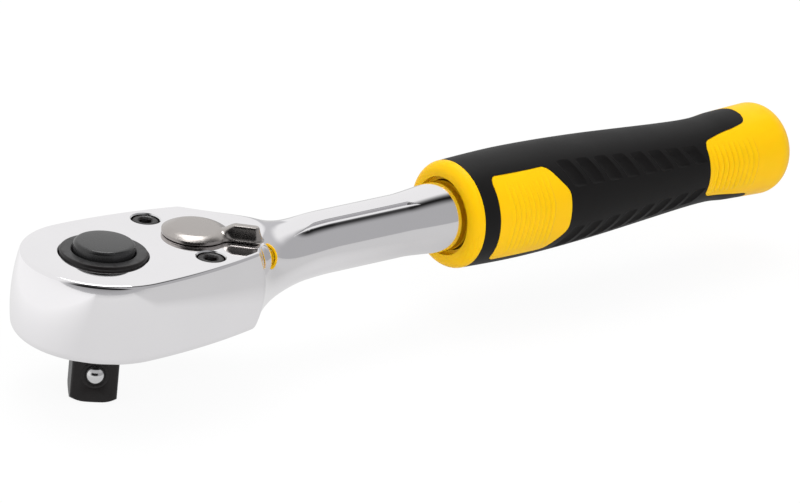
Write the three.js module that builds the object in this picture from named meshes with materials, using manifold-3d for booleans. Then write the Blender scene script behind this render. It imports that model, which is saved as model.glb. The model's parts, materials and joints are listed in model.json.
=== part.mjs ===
// Reversible ratchet: pear head, 3/8 inch square drive with quick release, two-material grip.
// Millimetres, +Z up. The origin is the centre of the drive square's end face. +Z runs up the
// drive axis to the release button and +X runs along the handle to the end of the grip.

import * as THREE from 'three';
import { mergeVertices } from 'three/addons/utils/BufferGeometryUtils.js';
import Module from 'manifold-3d';

const wasm = await Module();
wasm.setup();
const { degToRad } = THREE.MathUtils;

// Drive square and detent ball
const SQUARE_WIDTH = 9.53;
const SQUARE_LENGTH = 11.7;
const SQUARE_CORNER = 0.5;
const SQUARE_LEAD_IN = 1.3;
const SQUARE_END_EASE = 0.15;
const BALL_RADIUS = 2.0;
const BALL_FROM_END = 5.9;
const BALL_PROUD = 1.4;
const BALL_TRAVEL = 1.3;
const BALL_LIP_DEPTH = 0.45;
const BALL_LIP_HOLD = 0.05;
const BALL_FACE_ANGLE = degToRad(-123.6);

// Drive gear
const TOOTH_COUNT = 72;
const GEAR_TIP_RADIUS = 13.0;
const TOOTH_DEPTH = 0.8;
const TOOTH_TIP_SHARE = 0.16;
const HUB_RADIUS = 8.9;
const HUB_PROUD = 0.75;
const HUB_EDGE = 0.3;
const JOURNAL_RADIUS = 7.2;
const JOURNAL_PROUD = 1.5;

// Release button, plunger and spring inside the gear
const BUTTON_RADIUS = 6.25;
const BUTTON_PROUD = 2.05;
const BUTTON_TRAVEL = 3.0;
const BUTTON_FLANGE = 1.0;
const BUTTON_EDGE = 0.6;
const RING_BELOW_HUB = 4.0;
const RING_THICKNESS = 0.7;
const RING_WIDTH = 1.1;
const RING_INTO_HUB = 0.4;
const PLUNGER_RADIUS = 2.1;
const PLUNGER_IN_BUTTON = 4.0;
const PLUNGER_PAST_BALL = 1.6;
const PLUNGER_EDGE = 0.4;
const PLUNGER_WAIST_LENGTH = 1.6;
const SPRING_RADIUS = 3.4;
const SPRING_WIRE = 0.45;
const SPRING_POCKET_DEPTH = 4.5;
const SPRING_TURNS = 5;

// Head
const HEAD_THICKNESS = 17.2;
const HEAD_WALL = 4.9;
const NOSE_OFFSET = 0.45;
const FLANK_RADIUS = 125;
const BARREL_RADIUS = 41.6;
const BARREL_BELOW_TOP = 10.0;
const TOP_EDGE = 0.7;
const BOTTOM_EDGE = 2.0;
const ROOF_THICKNESS = 3.4;
const COVER_THICKNESS = 2.4;
const COVER_INSET = 3.6;
const COVER_LEDGE = 1.2;
const AXIS_BELOW_TOP = 8.0;

// Cover screws
const SCREW_WALL = 4.6;
const SCREW_ANGLE = degToRad(30.2);
const SCREW_RADIUS = 1.5;
const SCREW_HEAD_RADIUS = 2.75;
const SCREW_HEAD_HEIGHT = 2.6;
const SCREW_SUNK = 0.3;
const SCREW_SOCKET = 2.5;
const SCREW_SOCKET_DEPTH = 1.4;
const SCREW_EDGE = 0.3;

// Pawl and its pin
const PIN_BEHIND_TEETH = 3.8;
const PIN_RADIUS = 1.25;
const PIN_IN_ROOF = 2.0;
const PIN_IN_COVER = 1.2;
const PAWL_THICKNESS = 3.2;
const PAWL_REACH = degToRad(46);
const PAD_START = degToRad(30);
const PAWL_HUB_RADIUS = 3.1;
const PAWL_ROCK = degToRad(5.5);
const HEEL_HALF_WIDTH = 3.3;
const HEEL_DEPTH = 3.7;
const HEEL_SEAT_RADIUS = 3.15;

// Reversing lever
const LEVER_BEHIND_PIN = 6.2;
const LEVER_REST_ANGLE = degToRad(-45);
const LEVER_DISC_RADIUS = 6.8;
const LEVER_DISC_RIM = 1.0;
const LEVER_DISC_HEIGHT = 2.3;
const LEVER_DISC_FLAT = 5.5;
const LEVER_DISC_CROWN = 0.15;
const LEVER_REACH = 13.4;
const LEVER_FIN_WIDTH = 3.0;
const LEVER_FIN_HEIGHT = 3.1;
const LEVER_FIN_ROOT = 4.9;
const LEVER_FIN_BLEND = 2.0;
const LEVER_UNDERCUT = 0.6;
const LEVER_BORE_WALL = 0.7;
const LEVER_SHAFT_RADIUS = 2.6;
const LEVER_PLUNGER_RADIUS = 1.15;
const LEVER_PLUNGER_PROUD = 1.0;
const LEVER_PLUNGER_LENGTH = 2.7;
const LEVER_SPRING_WIRE = 0.2;
const LEVER_SPRING_TURNS = 4;
const CLIP_THICKNESS = 0.6;
const CLIP_WIDTH = 1.3;
const CLIP_SEAT_DEPTH = 0.5;

// Seal rings
const HUB_SEAL_WIRE = 0.42;
const LEVER_SEAL_WIRE = 0.36;

// Neck and shank
const NECK_BEHIND_LEVER = 28.0;
const NECK_FILLET = 30.0;
const SHANK_RADIUS = 6.6;
const SHANK_END_RADIUS = 7.45;
const SHANK_LENGTH = 38.0;
const SHANK_FLARE = 8.0;
const FLAT_HEIGHT = 5.75;
const FLAT_BEFORE_SHANK = 7.4;
const FLAT_BEFORE_GRIP = 9.5;
const RIB_HALF_WIDTH = 2.4;
const RIB_BLEND = 9.0;
const RIB_END_BLEND = 1.2;
const TANG_RADIUS = 6.0;
const TANG_LENGTH = 72.0;
const TANG_EDGE = 1.0;

// Grip profile: distances run from the front of the collar
const GRIP_LENGTH = 94.9;
const COLLAR_LIP_RADIUS = 8.7;
const COLLAR_ROUND = 2.4;
const COLLAR_RADIUS = 11.5;
const BELLY_AT = 18.0;
const BELLY_RADIUS = 11.88;
const TAPER_AT = 38.0;
const TAPER_RADIUS = 11.22;
const WAIST_AT = 68.0;
const WAIST_RADIUS = 9.3;
const BULB_AT = 88.0;
const BULB_RADIUS = 10.05;
const RECESS_RADIUS = 8.4;
const RECESS_DEPTH = 3.0;
const SOCKET_DEPTH = 5.5;

// Soft sleeve of the grip
const SLEEVE_WALL = 2.0;
const SLEEVE_START = 2.5;
const SLEEVE_END = 81.1;
const WINDOW_START = 6.4;
const WINDOW_LENGTH = 19.8;
const WINDOW_TOP = 9.9;
const WINDOW_BOTTOM = 8.3;
const WINDOW_NOSE = 4.4;
const WINDOW_CORNER = 1.5;
const TAB_START = 67.7;
const TAB_TOP = 7.1;
const TAB_BOTTOM = 4.9;
const TAB_SPREAD = 0.135;
const TAB_CORNER = 1.6;
const SLOT_COUNT = 8;
const SLOT_START = 27.5;
const SLOT_PITCH = 5.15;
const SLOT_WIDTH = 2.9;
const SLOT_SLANT = 2.9;
const SLOT_DEPTH = 0.7;
const SEAM_FROM_MIDDLE = 2.0;
const SLOT_INNER_ANGLES = [degToRad(27), degToRad(-17)];
const SLOT_OUTER_ANGLES = [degToRad(60), degToRad(-50)];
const SLOT_FADE = degToRad(12);

// Clearances
const RUNNING = 0.15;
const SLIDING = 0.1;
const END_PLAY = 0.3;
const POCKET_CLEARANCE = 0.4;
const PAWL_CLEARANCE = 0.5;
const TOOTH_CLEARANCE = 0.12;
const COVER_FIT = 0.1;
const SEAM = 0.12;
const LEVER_GAP = 0.1;

// Facets of round shapes
const ROUND = 32;
const FINE_ROUND = 40;
const BORE_ROUND = 24;
const SMALL_ROUND = 16;
const WELD = 1e-4;
const BEYOND = 5;

// Heights on the drive axis
const headBottom = SQUARE_LENGTH + JOURNAL_PROUD;
const headTop = headBottom + HEAD_THICKNESS;
const coverTop = headBottom + COVER_THICKNESS;
const roofUnder = headTop - ROOF_THICKNESS;
const gearBottom = coverTop + END_PLAY;
const gearTop = roofUnder - END_PLAY;
const pocketMiddle = (coverTop + roofUnder) / 2;
const hubTop = headTop + HUB_PROUD;
const buttonTop = hubTop + BUTTON_PROUD;
const ringTop = hubTop - RING_BELOW_HUB;
const ringBottom = ringTop - RING_THICKNESS;
const buttonBottom = ringBottom - SLIDING - BUTTON_FLANGE;
const buttonFloor = buttonBottom - BUTTON_TRAVEL - END_PLAY;
const springFloor = buttonFloor - SPRING_POCKET_DEPTH;
const plungerEnd = BALL_FROM_END - PLUNGER_PAST_BALL;
const handleZ = headTop - AXIS_BELOW_TOP;

// Places along the handle
const pocketRadius = GEAR_TIP_RADIUS + POCKET_CLEARANCE;
const noseRadius = pocketRadius + HEAD_WALL;
const pinX = GEAR_TIP_RADIUS + PIN_BEHIND_TEETH;
const leverX = pinX + LEVER_BEHIND_PIN;
const pawlOuter = GEAR_TIP_RADIUS + PAWL_THICKNESS;
const pawlPocketRadius = pawlOuter + PAWL_CLEARANCE + POCKET_CLEARANCE;
const screwDistance = pawlPocketRadius + SCREW_WALL;
const screwX = screwDistance * Math.cos(SCREW_ANGLE);
const screwY = screwDistance * Math.sin(SCREW_ANGLE);
const shankStart = leverX + NECK_BEHIND_LEVER;
const gripStart = shankStart + SHANK_LENGTH;
const gripEnd = gripStart + GRIP_LENGTH;
const tangStart = gripStart + SOCKET_DEPTH;
const tangEnd = tangStart + TANG_LENGTH;

// A closed geometry as a solid that can be cut and joined
function solid(geometry) {
  const bare = geometry.clone();
  bare.deleteAttribute('normal');
  bare.deleteAttribute('uv');
  const welded = mergeVertices(bare, WELD);
  const index = welded.index.array;
  const triangles = [];
  for (let i = 0; i < index.length; i += 3) {
    const [a, b, c] = index.slice(i, i + 3);
    if (a !== b && b !== c && c !== a) triangles.push(a, b, c);
  }
  return new wasm.Manifold(new wasm.Mesh({
    numProp: 3,
    vertProperties: new Float32Array(welded.attributes.position.array),
    triVerts: new Uint32Array(triangles),
  }));
}

// The surface of a solid as a geometry
function surface(body) {
  const mesh = body.getMesh();
  const geometry = new THREE.BufferGeometry();
  geometry.setAttribute('position', new THREE.BufferAttribute(new Float32Array(mesh.vertProperties), 3));
  geometry.setIndex(new THREE.BufferAttribute(new Uint32Array(mesh.triVerts), 1));
  return geometry;
}

// A profile of [radius, height] points turned about a vertical axis
function revolve(profile, segments = ROUND, x = 0, y = 0) {
  const points = profile.map(([radius, height]) => new THREE.Vector2(radius, height));
  return solid(new THREE.LatheGeometry(points, segments).rotateX(Math.PI / 2).translate(x, y, 0));
}

// A profile of [distance, radius] points turned about the handle's axis
function turn(profile, segments = ROUND) {
  const points = profile.map(([distance, radius]) => new THREE.Vector2(radius, distance));
  return solid(new THREE.LatheGeometry(points, segments).rotateZ(-Math.PI / 2).translate(0, 0, handleZ));
}

// A vertical rod
function rod(radius, bottom, top, segments = ROUND, x = 0, y = 0) {
  return revolve([[0, bottom], [radius, bottom], [radius, top], [0, top]], segments, x, y);
}

// A plan shape standing between two heights
function prism(shape, bottom, top, curveSegments = 12) {
  const options = { depth: top - bottom, bevelEnabled: false, curveSegments };
  return solid(new THREE.ExtrudeGeometry(shape, options).translate(0, 0, bottom));
}

// A side-view shape, drawn along the handle and above its axis, pushed through the grip
function sideCut(shape, near, far) {
  const options = { depth: far - near, bevelEnabled: false, curveSegments: 6 };
  const geometry = new THREE.ExtrudeGeometry(shape, options);
  return solid(geometry.rotateX(Math.PI / 2).translate(0, far, handleZ));
}

// A plan shape through listed points
function outline(points) {
  return new THREE.Shape(points.map(([x, y]) => new THREE.Vector2(x, y)));
}

// A round plan shape
function disc(x, y, radius) {
  return new THREE.Shape().absarc(x, y, radius, 0, 2 * Math.PI);
}

// A flat ring with a gap, as a snap ring has
function openRing(x, inner, outer, gap, facing) {
  const shape = new THREE.Shape();
  shape.absarc(x, 0, outer, facing + gap, facing + 2 * Math.PI - gap, false);
  shape.absarc(x, 0, inner, facing + 2 * Math.PI - gap, facing + gap, true);
  return shape;
}

// A ring of round wire
function wireRing(radius, wire, height, x = 0) {
  return solid(new THREE.TorusGeometry(radius, wire, 5, ROUND).translate(x, 0, height));
}

// A circular arc as points
function arcPoints(x, y, radius, from, to, steps) {
  return Array.from({ length: steps + 1 }, (_, i) => {
    const angle = from + ((to - from) * i) / steps;
    return [x + radius * Math.cos(angle), y + radius * Math.sin(angle)];
  });
}

// The centre line of a coil spring
class Coil extends THREE.Curve {
  constructor(radius, start, end, turns) {
    super();
    Object.assign(this, { radius, start, end, turns });
  }

  getPoint(t, target = new THREE.Vector3()) {
    const angle = 2 * Math.PI * this.turns * t;
    const height = this.start + (this.end - this.start) * t;
    return target.set(this.radius * Math.cos(angle), this.radius * Math.sin(angle), height);
  }
}

function spring(radius, wire, start, end, turns) {
  const section = outline(arcPoints(0, 0, wire, 0, 2 * Math.PI, 5).slice(0, 5));
  const extrudePath = new Coil(radius, start + wire, end - wire, turns);
  return new THREE.ExtrudeGeometry(section, { steps: turns * 8, bevelEnabled: false, extrudePath });
}

// A skin through rings of equally many points, closed at both ends
function loft(rings) {
  const count = rings[0].length;
  const positions = rings.flat(2);
  const index = [];
  for (let level = 0; level + 1 < rings.length; level += 1) {
    for (let i = 0; i < count; i += 1) {
      const here = level * count + i;
      const next = level * count + ((i + 1) % count);
      index.push(here, next, next + count, here, next + count, here + count);
    }
  }
  const last = (rings.length - 1) * count;
  for (let i = 1; i + 1 < count; i += 1) {
    index.push(0, i + 1, i, last, last + i, last + i + 1);
  }
  const geometry = new THREE.BufferGeometry();
  geometry.setAttribute('position', new THREE.Float32BufferAttribute(positions, 3));
  geometry.setIndex(index);
  return solid(geometry);
}

// Plan of the head, drawn in from its widest outline: two long flank arcs and a round nose
function headOutline(inset, backX) {
  const flank = FLANK_RADIUS - inset;
  const flankY = noseRadius - FLANK_RADIUS;
  const start = Math.acos((backX - NOSE_OFFSET) / flank);
  return [
    ...arcPoints(NOSE_OFFSET, flankY, flank, start, Math.PI / 2, 4),
    ...arcPoints(NOSE_OFFSET, 0, noseRadius - inset, Math.PI / 2, 1.5 * Math.PI, 28).slice(1),
    ...arcPoints(NOSE_OFFSET, -flankY, flank, 1.5 * Math.PI, 2 * Math.PI - start, 4).slice(1),
  ];
}

// How far the side of the head is drawn in at a height: barrel curve plus rounded edges
function headInset(z) {
  const barrel = (z - headTop + BARREL_BELOW_TOP) ** 2 / (2 * BARREL_RADIUS);
  const intoTop = Math.max(0, z - headTop + TOP_EDGE);
  const intoBottom = Math.max(0, headBottom + BOTTOM_EDGE - z);
  const topRound = TOP_EDGE - Math.sqrt(Math.max(0, TOP_EDGE ** 2 - intoTop ** 2));
  const bottomRound = BOTTOM_EDGE - Math.sqrt(Math.max(0, BOTTOM_EDGE ** 2 - intoBottom ** 2));
  return barrel + topRound + bottomRound;
}

function headBlock() {
  const backX = shankStart - FLAT_BEFORE_SHANK;
  const quarter = [0, 30, 60, 90].map(degToRad);
  const sideBottom = headBottom + BOTTOM_EDGE;
  const sideTop = headTop - TOP_EDGE;
  const levels = [
    ...quarter.map((a) => sideBottom - BOTTOM_EDGE * Math.cos(a)),
    ...[0.25, 0.5, 0.75].map((t) => sideBottom + t * (sideTop - sideBottom)),
    ...[0, 45, 90].map((degrees) => sideTop + TOP_EDGE * Math.sin(degToRad(degrees))),
  ];
  return loft(levels.map((z) => headOutline(headInset(z), backX).map(([x, y]) => [x, y, z])));
}

// The trumpet-shaped neck, the shank and the tang as one turned bar. Ahead of the neck the bar is
// wider than the head, so that only the head's own outline shows there.
function turnedBar() {
  const neck = [60, 51, 42, 33, 24, 16, 8, 0].map((degrees) => {
    const angle = degToRad(degrees);
    return [shankStart - NECK_FILLET * Math.sin(angle), SHANK_RADIUS + NECK_FILLET * (1 - Math.cos(angle))];
  });
  const [neckBack] = neck[0];
  const wide = 2 * noseRadius;
  const front = -noseRadius - BEYOND;
  return turn([
    [front, 0],
    [front, wide],
    [neckBack, wide],
    ...neck,
    [gripStart - SHANK_FLARE, SHANK_RADIUS],
    [gripStart, SHANK_END_RADIUS],
    [tangStart - (SHANK_END_RADIUS - TANG_RADIUS), SHANK_END_RADIUS],
    [tangStart, TANG_RADIUS],
    [tangEnd - TANG_EDGE, TANG_RADIUS],
    [tangEnd, TANG_RADIUS - TANG_EDGE],
    [tangEnd, 0],
  ]);
}

// Two long flats on the top of the shank, one each side of a middle rib that widens at both ends
function shankFlats() {
  const start = shankStart - FLAT_BEFORE_SHANK;
  const end = gripStart - FLAT_BEFORE_GRIP;
  const side = SHANK_END_RADIUS + BEYOND;
  const corner = FLAT_HEIGHT;
  const plan = [
    [start, corner],
    [start + RIB_BLEND, RIB_HALF_WIDTH],
    [end - RIB_END_BLEND, RIB_HALF_WIDTH],
    [end, corner],
    [end, side],
    [start, side],
  ];
  const mirrored = plan.map(([x, y]) => [x, -y]).reverse();
  const top = [plan, mirrored].map((points) => {
    return prism(outline(points.slice().reverse()), handleZ + FLAT_HEIGHT, handleZ + side);
  });
  const bottom = [plan, mirrored].map((points) => {
    return prism(outline(points.slice().reverse()), handleZ - side, handleZ - FLAT_HEIGHT);
  });
  return [...top, ...bottom].reduce((all, next) => all.add(next));
}

// The pocket for gear, pawl and lever shaft, open on the drive side
function mechanismPocket() {
  const spread = PAWL_REACH + degToRad(6);
  const sector = outline([[0, 0], ...arcPoints(0, 0, pawlPocketRadius, -spread, spread, 16)]);
  const heel = HEEL_HALF_WIDTH + PAWL_CLEARANCE;
  const waist = outline([[pinX, -heel], [leverX, -heel], [leverX, heel], [pinX, heel]]);
  const leverRoom = LEVER_SHAFT_RADIUS + CLIP_WIDTH + PAWL_CLEARANCE;
  const bottom = headBottom - BEYOND;
  return rod(pocketRadius, bottom, roofUnder, FINE_ROUND)
    .add(prism(sector, bottom, roofUnder))
    .add(prism(disc(pinX, 0, PAWL_HUB_RADIUS + PAWL_CLEARANCE), bottom, roofUnder))
    .add(prism(waist, bottom, roofUnder))
    .add(rod(leverRoom, bottom, roofUnder, SMALL_ROUND, leverX));
}

// Plan of the cover plate: it follows the head and narrows to the lever's end of the pocket
function coverOutline(gap) {
  const leverRoom = LEVER_SHAFT_RADIUS + CLIP_WIDTH + PAWL_CLEARANCE;
  const shoulderX = screwX + SCREW_HEAD_RADIUS + COVER_LEDGE;
  const backX = leverX + leverRoom + COVER_LEDGE;
  const points = headOutline(COVER_INSET - gap, shoulderX);
  return outline([...points, [backX + gap, -leverRoom - gap], [backX + gap, leverRoom + gap]]);
}

function ratchetBody() {
  const boxLength = 2 * GRIP_LENGTH;
  const boxStart = shankStart - FLAT_BEFORE_SHANK - 0.5;
  const rearSpace = new THREE.BoxGeometry(boxLength, 4 * noseRadius, 4 * noseRadius);
  rearSpace.translate(boxStart + boxLength / 2, 0, handleZ);
  let body = headBlock().add(solid(rearSpace)).intersect(turnedBar());
  body = body.subtract(shankFlats());
  body = body.subtract(mechanismPocket());
  body = body.subtract(prism(coverOutline(COVER_FIT), headBottom - BEYOND, coverTop, 12));
  body = body.subtract(rod(HUB_RADIUS + RUNNING, roofUnder - 1, headTop + 1, FINE_ROUND));
  body = body.subtract(rod(LEVER_SHAFT_RADIUS + RUNNING, roofUnder - 1, headTop + 1, ROUND, leverX));
  body = body.subtract(rod(PIN_RADIUS + SLIDING, roofUnder - 1, roofUnder + PIN_IN_ROOF, SMALL_ROUND, pinX));
  const seat = headTop - SCREW_SUNK - SCREW_HEAD_HEIGHT - SLIDING;
  for (const y of [-screwY, screwY]) {
    body = body.subtract(rod(SCREW_HEAD_RADIUS + 2 * SLIDING, seat, headTop + 1, SMALL_ROUND, screwX, y));
    body = body.subtract(rod(SCREW_RADIUS + SLIDING, headBottom, seat + 1, SMALL_ROUND, screwX, y));
  }
  return body;
}

function coverPlate() {
  const bore = JOURNAL_RADIUS + RUNNING;
  let plate = prism(coverOutline(0), headBottom, coverTop - COVER_FIT);
  plate = plate.subtract(rod(bore, headBottom - 1, coverTop + 1));
  plate = plate.subtract(rod(PIN_RADIUS + SLIDING, coverTop - PIN_IN_COVER, coverTop + 1, SMALL_ROUND, pinX));
  for (const y of [-screwY, screwY]) {
    plate = plate.subtract(rod(SCREW_RADIUS + SLIDING, headBottom - 1, coverTop + 1, SMALL_ROUND, screwX, y));
  }
  return plate;
}

function coverScrew(y) {
  const headUnder = headTop - SCREW_SUNK - SCREW_HEAD_HEIGHT;
  const top = headUnder + SCREW_HEAD_HEIGHT;
  const screw = revolve([
    [0, headBottom + SCREW_SUNK],
    [SCREW_RADIUS - SCREW_EDGE, headBottom + SCREW_SUNK],
    [SCREW_RADIUS, headBottom + SCREW_SUNK + SCREW_EDGE],
    [SCREW_RADIUS, headUnder],
    [SCREW_HEAD_RADIUS, headUnder],
    [SCREW_HEAD_RADIUS, top - SCREW_EDGE],
    [SCREW_HEAD_RADIUS - SCREW_EDGE, top],
    [0, top],
  ], SMALL_ROUND, screwX, y);
  const socketRadius = SCREW_SOCKET / Math.sqrt(3);
  return screw.subtract(rod(socketRadius, top - SCREW_SOCKET_DEPTH, top + 1, 6, screwX, y));
}

// Plan of the toothed ring, grown by a clearance
function gearOutline(grow) {
  const pitch = (2 * Math.PI) / TOOTH_COUNT;
  const tip = GEAR_TIP_RADIUS + grow;
  const root = tip - TOOTH_DEPTH;
  const tipHalf = pitch * TOOTH_TIP_SHARE / 2 + grow / tip;
  const points = [];
  for (let tooth = 0; tooth < TOOTH_COUNT; tooth += 1) {
    const middle = (tooth + 0.5) * pitch;
    for (const [radius, angle] of [[root, middle - pitch / 2], [tip, middle - tipHalf], [tip, middle + tipHalf]]) {
      points.push([radius * Math.cos(angle), radius * Math.sin(angle)]);
    }
  }
  return outline(points);
}

// The square with its small corner flats, turned to the ball's face. Its end is eased on a lathe,
// which leaves a curved lower edge on each face.
function driveSquare() {
  const half = SQUARE_WIDTH / 2;
  const short = half - SQUARE_CORNER;
  const cos = Math.cos(BALL_FACE_ANGLE);
  const sin = Math.sin(BALL_FACE_ANGLE);
  const plan = [
    [half, -short], [half, short], [short, half], [-short, half],
    [-half, short], [-half, -short], [-short, -half], [short, -half],
  ].map(([x, y]) => [x * cos - y * sin, x * sin + y * cos]);
  const top = SQUARE_LENGTH + 1;
  const wide = half * Math.SQRT2;
  const ease = revolve([
    [0, 0],
    [half - SQUARE_END_EASE, 0],
    [wide, SQUARE_LEAD_IN],
    [wide, top],
    [0, top],
  ], FINE_ROUND);
  return prism(outline(plan), 0, top).intersect(ease);
}

// The ball's hole: a bore from the axis that is drawn in at the face to keep the ball
function ballHole() {
  const face = SQUARE_WIDTH / 2;
  const bore = BALL_RADIUS + RUNNING;
  const lip = BALL_RADIUS - BALL_LIP_HOLD;
  const points = [[0, 0], [bore, 0], [bore, face - BALL_LIP_DEPTH], [lip, face], [lip, face + 1], [0, face + 1]];
  const profile = points.map(([radius, along]) => new THREE.Vector2(radius, along));
  const geometry = new THREE.LatheGeometry(profile, SMALL_ROUND).rotateZ(-Math.PI / 2);
  return solid(geometry.rotateZ(BALL_FACE_ANGLE).translate(0, 0, BALL_FROM_END));
}

function driveGear() {
  const sealZ = (roofUnder + headTop) / 2;
  const sealFloor = HUB_RADIUS - 2 * HUB_SEAL_WIRE - SLIDING / 2;
  let gear = prism(gearOutline(0), gearBottom, gearTop);
  gear = gear.add(revolve([
    [0, SQUARE_LENGTH],
    [JOURNAL_RADIUS, SQUARE_LENGTH],
    [JOURNAL_RADIUS, gearBottom + 1],
    [HUB_RADIUS, gearTop - 1],
    [HUB_RADIUS, sealZ - HUB_SEAL_WIRE - SLIDING],
    [sealFloor, sealZ - HUB_SEAL_WIRE - SLIDING],
    [sealFloor, sealZ + HUB_SEAL_WIRE + SLIDING],
    [HUB_RADIUS, sealZ + HUB_SEAL_WIRE + SLIDING],
    [HUB_RADIUS, hubTop - HUB_EDGE],
    [HUB_RADIUS - HUB_EDGE, hubTop],
    [0, hubTop],
  ], FINE_ROUND));
  gear = gear.add(driveSquare());
  const ringSeat = BUTTON_RADIUS + 2 * SLIDING + RING_INTO_HUB + SLIDING;
  const bore = BUTTON_RADIUS + 2 * SLIDING;
  gear = gear.subtract(revolve([
    [0, plungerEnd - BUTTON_TRAVEL - END_PLAY],
    [PLUNGER_RADIUS + SLIDING, plungerEnd - BUTTON_TRAVEL - END_PLAY],
    [PLUNGER_RADIUS + SLIDING, springFloor],
    [SPRING_RADIUS + SPRING_WIRE + 2 * RUNNING, springFloor],
    [SPRING_RADIUS + SPRING_WIRE + 2 * RUNNING, buttonFloor],
    [bore, buttonFloor],
    [bore, ringBottom - SLIDING],
    [ringSeat, ringBottom - SLIDING],
    [ringSeat, ringTop + SLIDING],
    [bore, ringTop + SLIDING],
    [bore, hubTop + 1],
    [0, hubTop + 1],
  ], BORE_ROUND));
  return gear.subtract(ballHole());
}

function releaseButton() {
  const grooveRadius = BUTTON_RADIUS + 2 * SLIDING + RING_INTO_HUB - RING_WIDTH - SLIDING;
  const grooveTop = ringTop + BUTTON_TRAVEL + SLIDING;
  const button = revolve([
    [0, buttonBottom],
    [BUTTON_RADIUS, buttonBottom],
    [BUTTON_RADIUS, buttonBottom + BUTTON_FLANGE],
    [grooveRadius, buttonBottom + BUTTON_FLANGE],
    [grooveRadius, grooveTop],
    [BUTTON_RADIUS, grooveTop],
    [BUTTON_RADIUS, buttonTop - BUTTON_EDGE],
    [BUTTON_RADIUS - 0.3 * BUTTON_EDGE, buttonTop - 0.3 * BUTTON_EDGE],
    [BUTTON_RADIUS - BUTTON_EDGE, buttonTop],
    [0, buttonTop],
  ]);
  const socketTop = buttonBottom + PLUNGER_IN_BUTTON + SLIDING;
  return button.subtract(rod(PLUNGER_RADIUS + SLIDING, buttonBottom - 1, socketTop, SMALL_ROUND));
}

// The plunger under the button. Its cone is parallel to the joint path of ball and button, so the
// ball is held out at rest and drops to the waist when the button is down.
function releasePlunger() {
  const ballRest = SQUARE_WIDTH / 2 + BALL_PROUD - BALL_RADIUS;
  const path = Math.hypot(BUTTON_TRAVEL, BALL_TRAVEL);
  const reach = BALL_RADIUS + SLIDING;
  const touchRadius = ballRest - (reach * BUTTON_TRAVEL) / path;
  const touchZ = BALL_FROM_END - (reach * BALL_TRAVEL) / path;
  const slope = BALL_TRAVEL / BUTTON_TRAVEL;
  const waist = ballRest - BALL_TRAVEL - BALL_RADIUS - SLIDING;
  const landTop = touchZ + (touchRadius - PLUNGER_RADIUS) / slope;
  const waistStart = touchZ + (touchRadius - waist) / slope;
  const waistEnd = waistStart + PLUNGER_WAIST_LENGTH;
  return revolve([
    [0, plungerEnd],
    [PLUNGER_RADIUS - PLUNGER_EDGE, plungerEnd],
    [PLUNGER_RADIUS, plungerEnd + PLUNGER_EDGE],
    [PLUNGER_RADIUS, landTop],
    [waist, waistStart],
    [waist, waistEnd],
    [PLUNGER_RADIUS, waistEnd + PLUNGER_RADIUS - waist],
    [PLUNGER_RADIUS, buttonBottom + PLUNGER_IN_BUTTON],
    [0, buttonBottom + PLUNGER_IN_BUTTON],
  ], SMALL_ROUND);
}

function detentBall() {
  const centre = SQUARE_WIDTH / 2 + BALL_PROUD - BALL_RADIUS;
  const ball = new THREE.SphereGeometry(BALL_RADIUS, SMALL_ROUND, 10).rotateZ(-Math.PI / 2);
  return solid(ball.translate(centre, 0, 0).rotateZ(BALL_FACE_ANGLE).translate(0, 0, BALL_FROM_END));
}

function buttonSnapRing() {
  const outer = BUTTON_RADIUS + 2 * SLIDING + RING_INTO_HUB;
  return prism(openRing(0, outer - RING_WIDTH, outer, degToRad(15), 0), ringBottom, ringTop, 9);
}

// A rotation about the pawl's pin, in plan
function aboutPin(body, angle) {
  return body.translate([-pinX, 0, 0]).rotate([0, 0, THREE.MathUtils.radToDeg(angle)]).translate([pinX, 0, 0]);
}

// The double-ended pawl. It is cut by the gear in every position of its rock, which leaves the
// teeth at both ends, and it is drawn at rest, with the +Y end in the gear.
function pawl() {
  const bottom = gearBottom;
  const top = gearTop;
  const lift = (PAWL_ROCK / 2) * Math.sqrt(pinX ** 2 - GEAR_TIP_RADIUS ** 2);
  const padInner = GEAR_TIP_RADIUS - TOOTH_DEPTH + lift / 2;
  const middleInner = GEAR_TIP_RADIUS + lift + PAWL_CLEARANCE;
  const crescent = new THREE.Shape();
  crescent.absarc(0, 0, pawlOuter, -PAWL_REACH, PAWL_REACH, false);
  crescent.absarc(0, 0, padInner, PAWL_REACH, PAD_START, true);
  crescent.absarc(0, 0, middleInner, PAD_START, -PAD_START, true);
  crescent.absarc(0, 0, padInner, -PAD_START, -PAWL_REACH, true);
  const heelBack = pinX + HEEL_DEPTH;
  const heel = outline([
    [pinX - PIN_RADIUS, -PAWL_HUB_RADIUS],
    [heelBack, -HEEL_HALF_WIDTH],
    [heelBack, HEEL_HALF_WIDTH],
    [pinX - PIN_RADIUS, PAWL_HUB_RADIUS],
  ]);
  let blank = prism(crescent, bottom, top, 8).add(prism(heel, bottom, top));
  const cutter = prism(gearOutline(TOOTH_CLEARANCE), bottom - 1, top + 1);
  for (const share of [-1, -0.5, 0, 0.5, 1]) {
    blank = blank.subtract(aboutPin(cutter, (share * PAWL_ROCK) / 2));
  }
  const seatBottom = leverX - LEVER_SHAFT_RADIUS - LEVER_PLUNGER_PROUD - RUNNING;
  const seatX = seatBottom + HEEL_SEAT_RADIUS;
  blank = blank.subtract(rod(HEEL_SEAT_RADIUS, bottom - 1, top + 1, ROUND, seatX));
  const clipRoom = LEVER_SHAFT_RADIUS + CLIP_WIDTH + RUNNING;
  blank = blank.subtract(rod(clipRoom, roofUnder - CLIP_THICKNESS - 3 * END_PLAY, top + 1, SMALL_ROUND, leverX));
  blank = blank.subtract(rod(PIN_RADIUS + SLIDING, bottom - 1, top + 1, SMALL_ROUND, pinX));
  return aboutPin(blank, PAWL_ROCK / 2);
}

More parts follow.
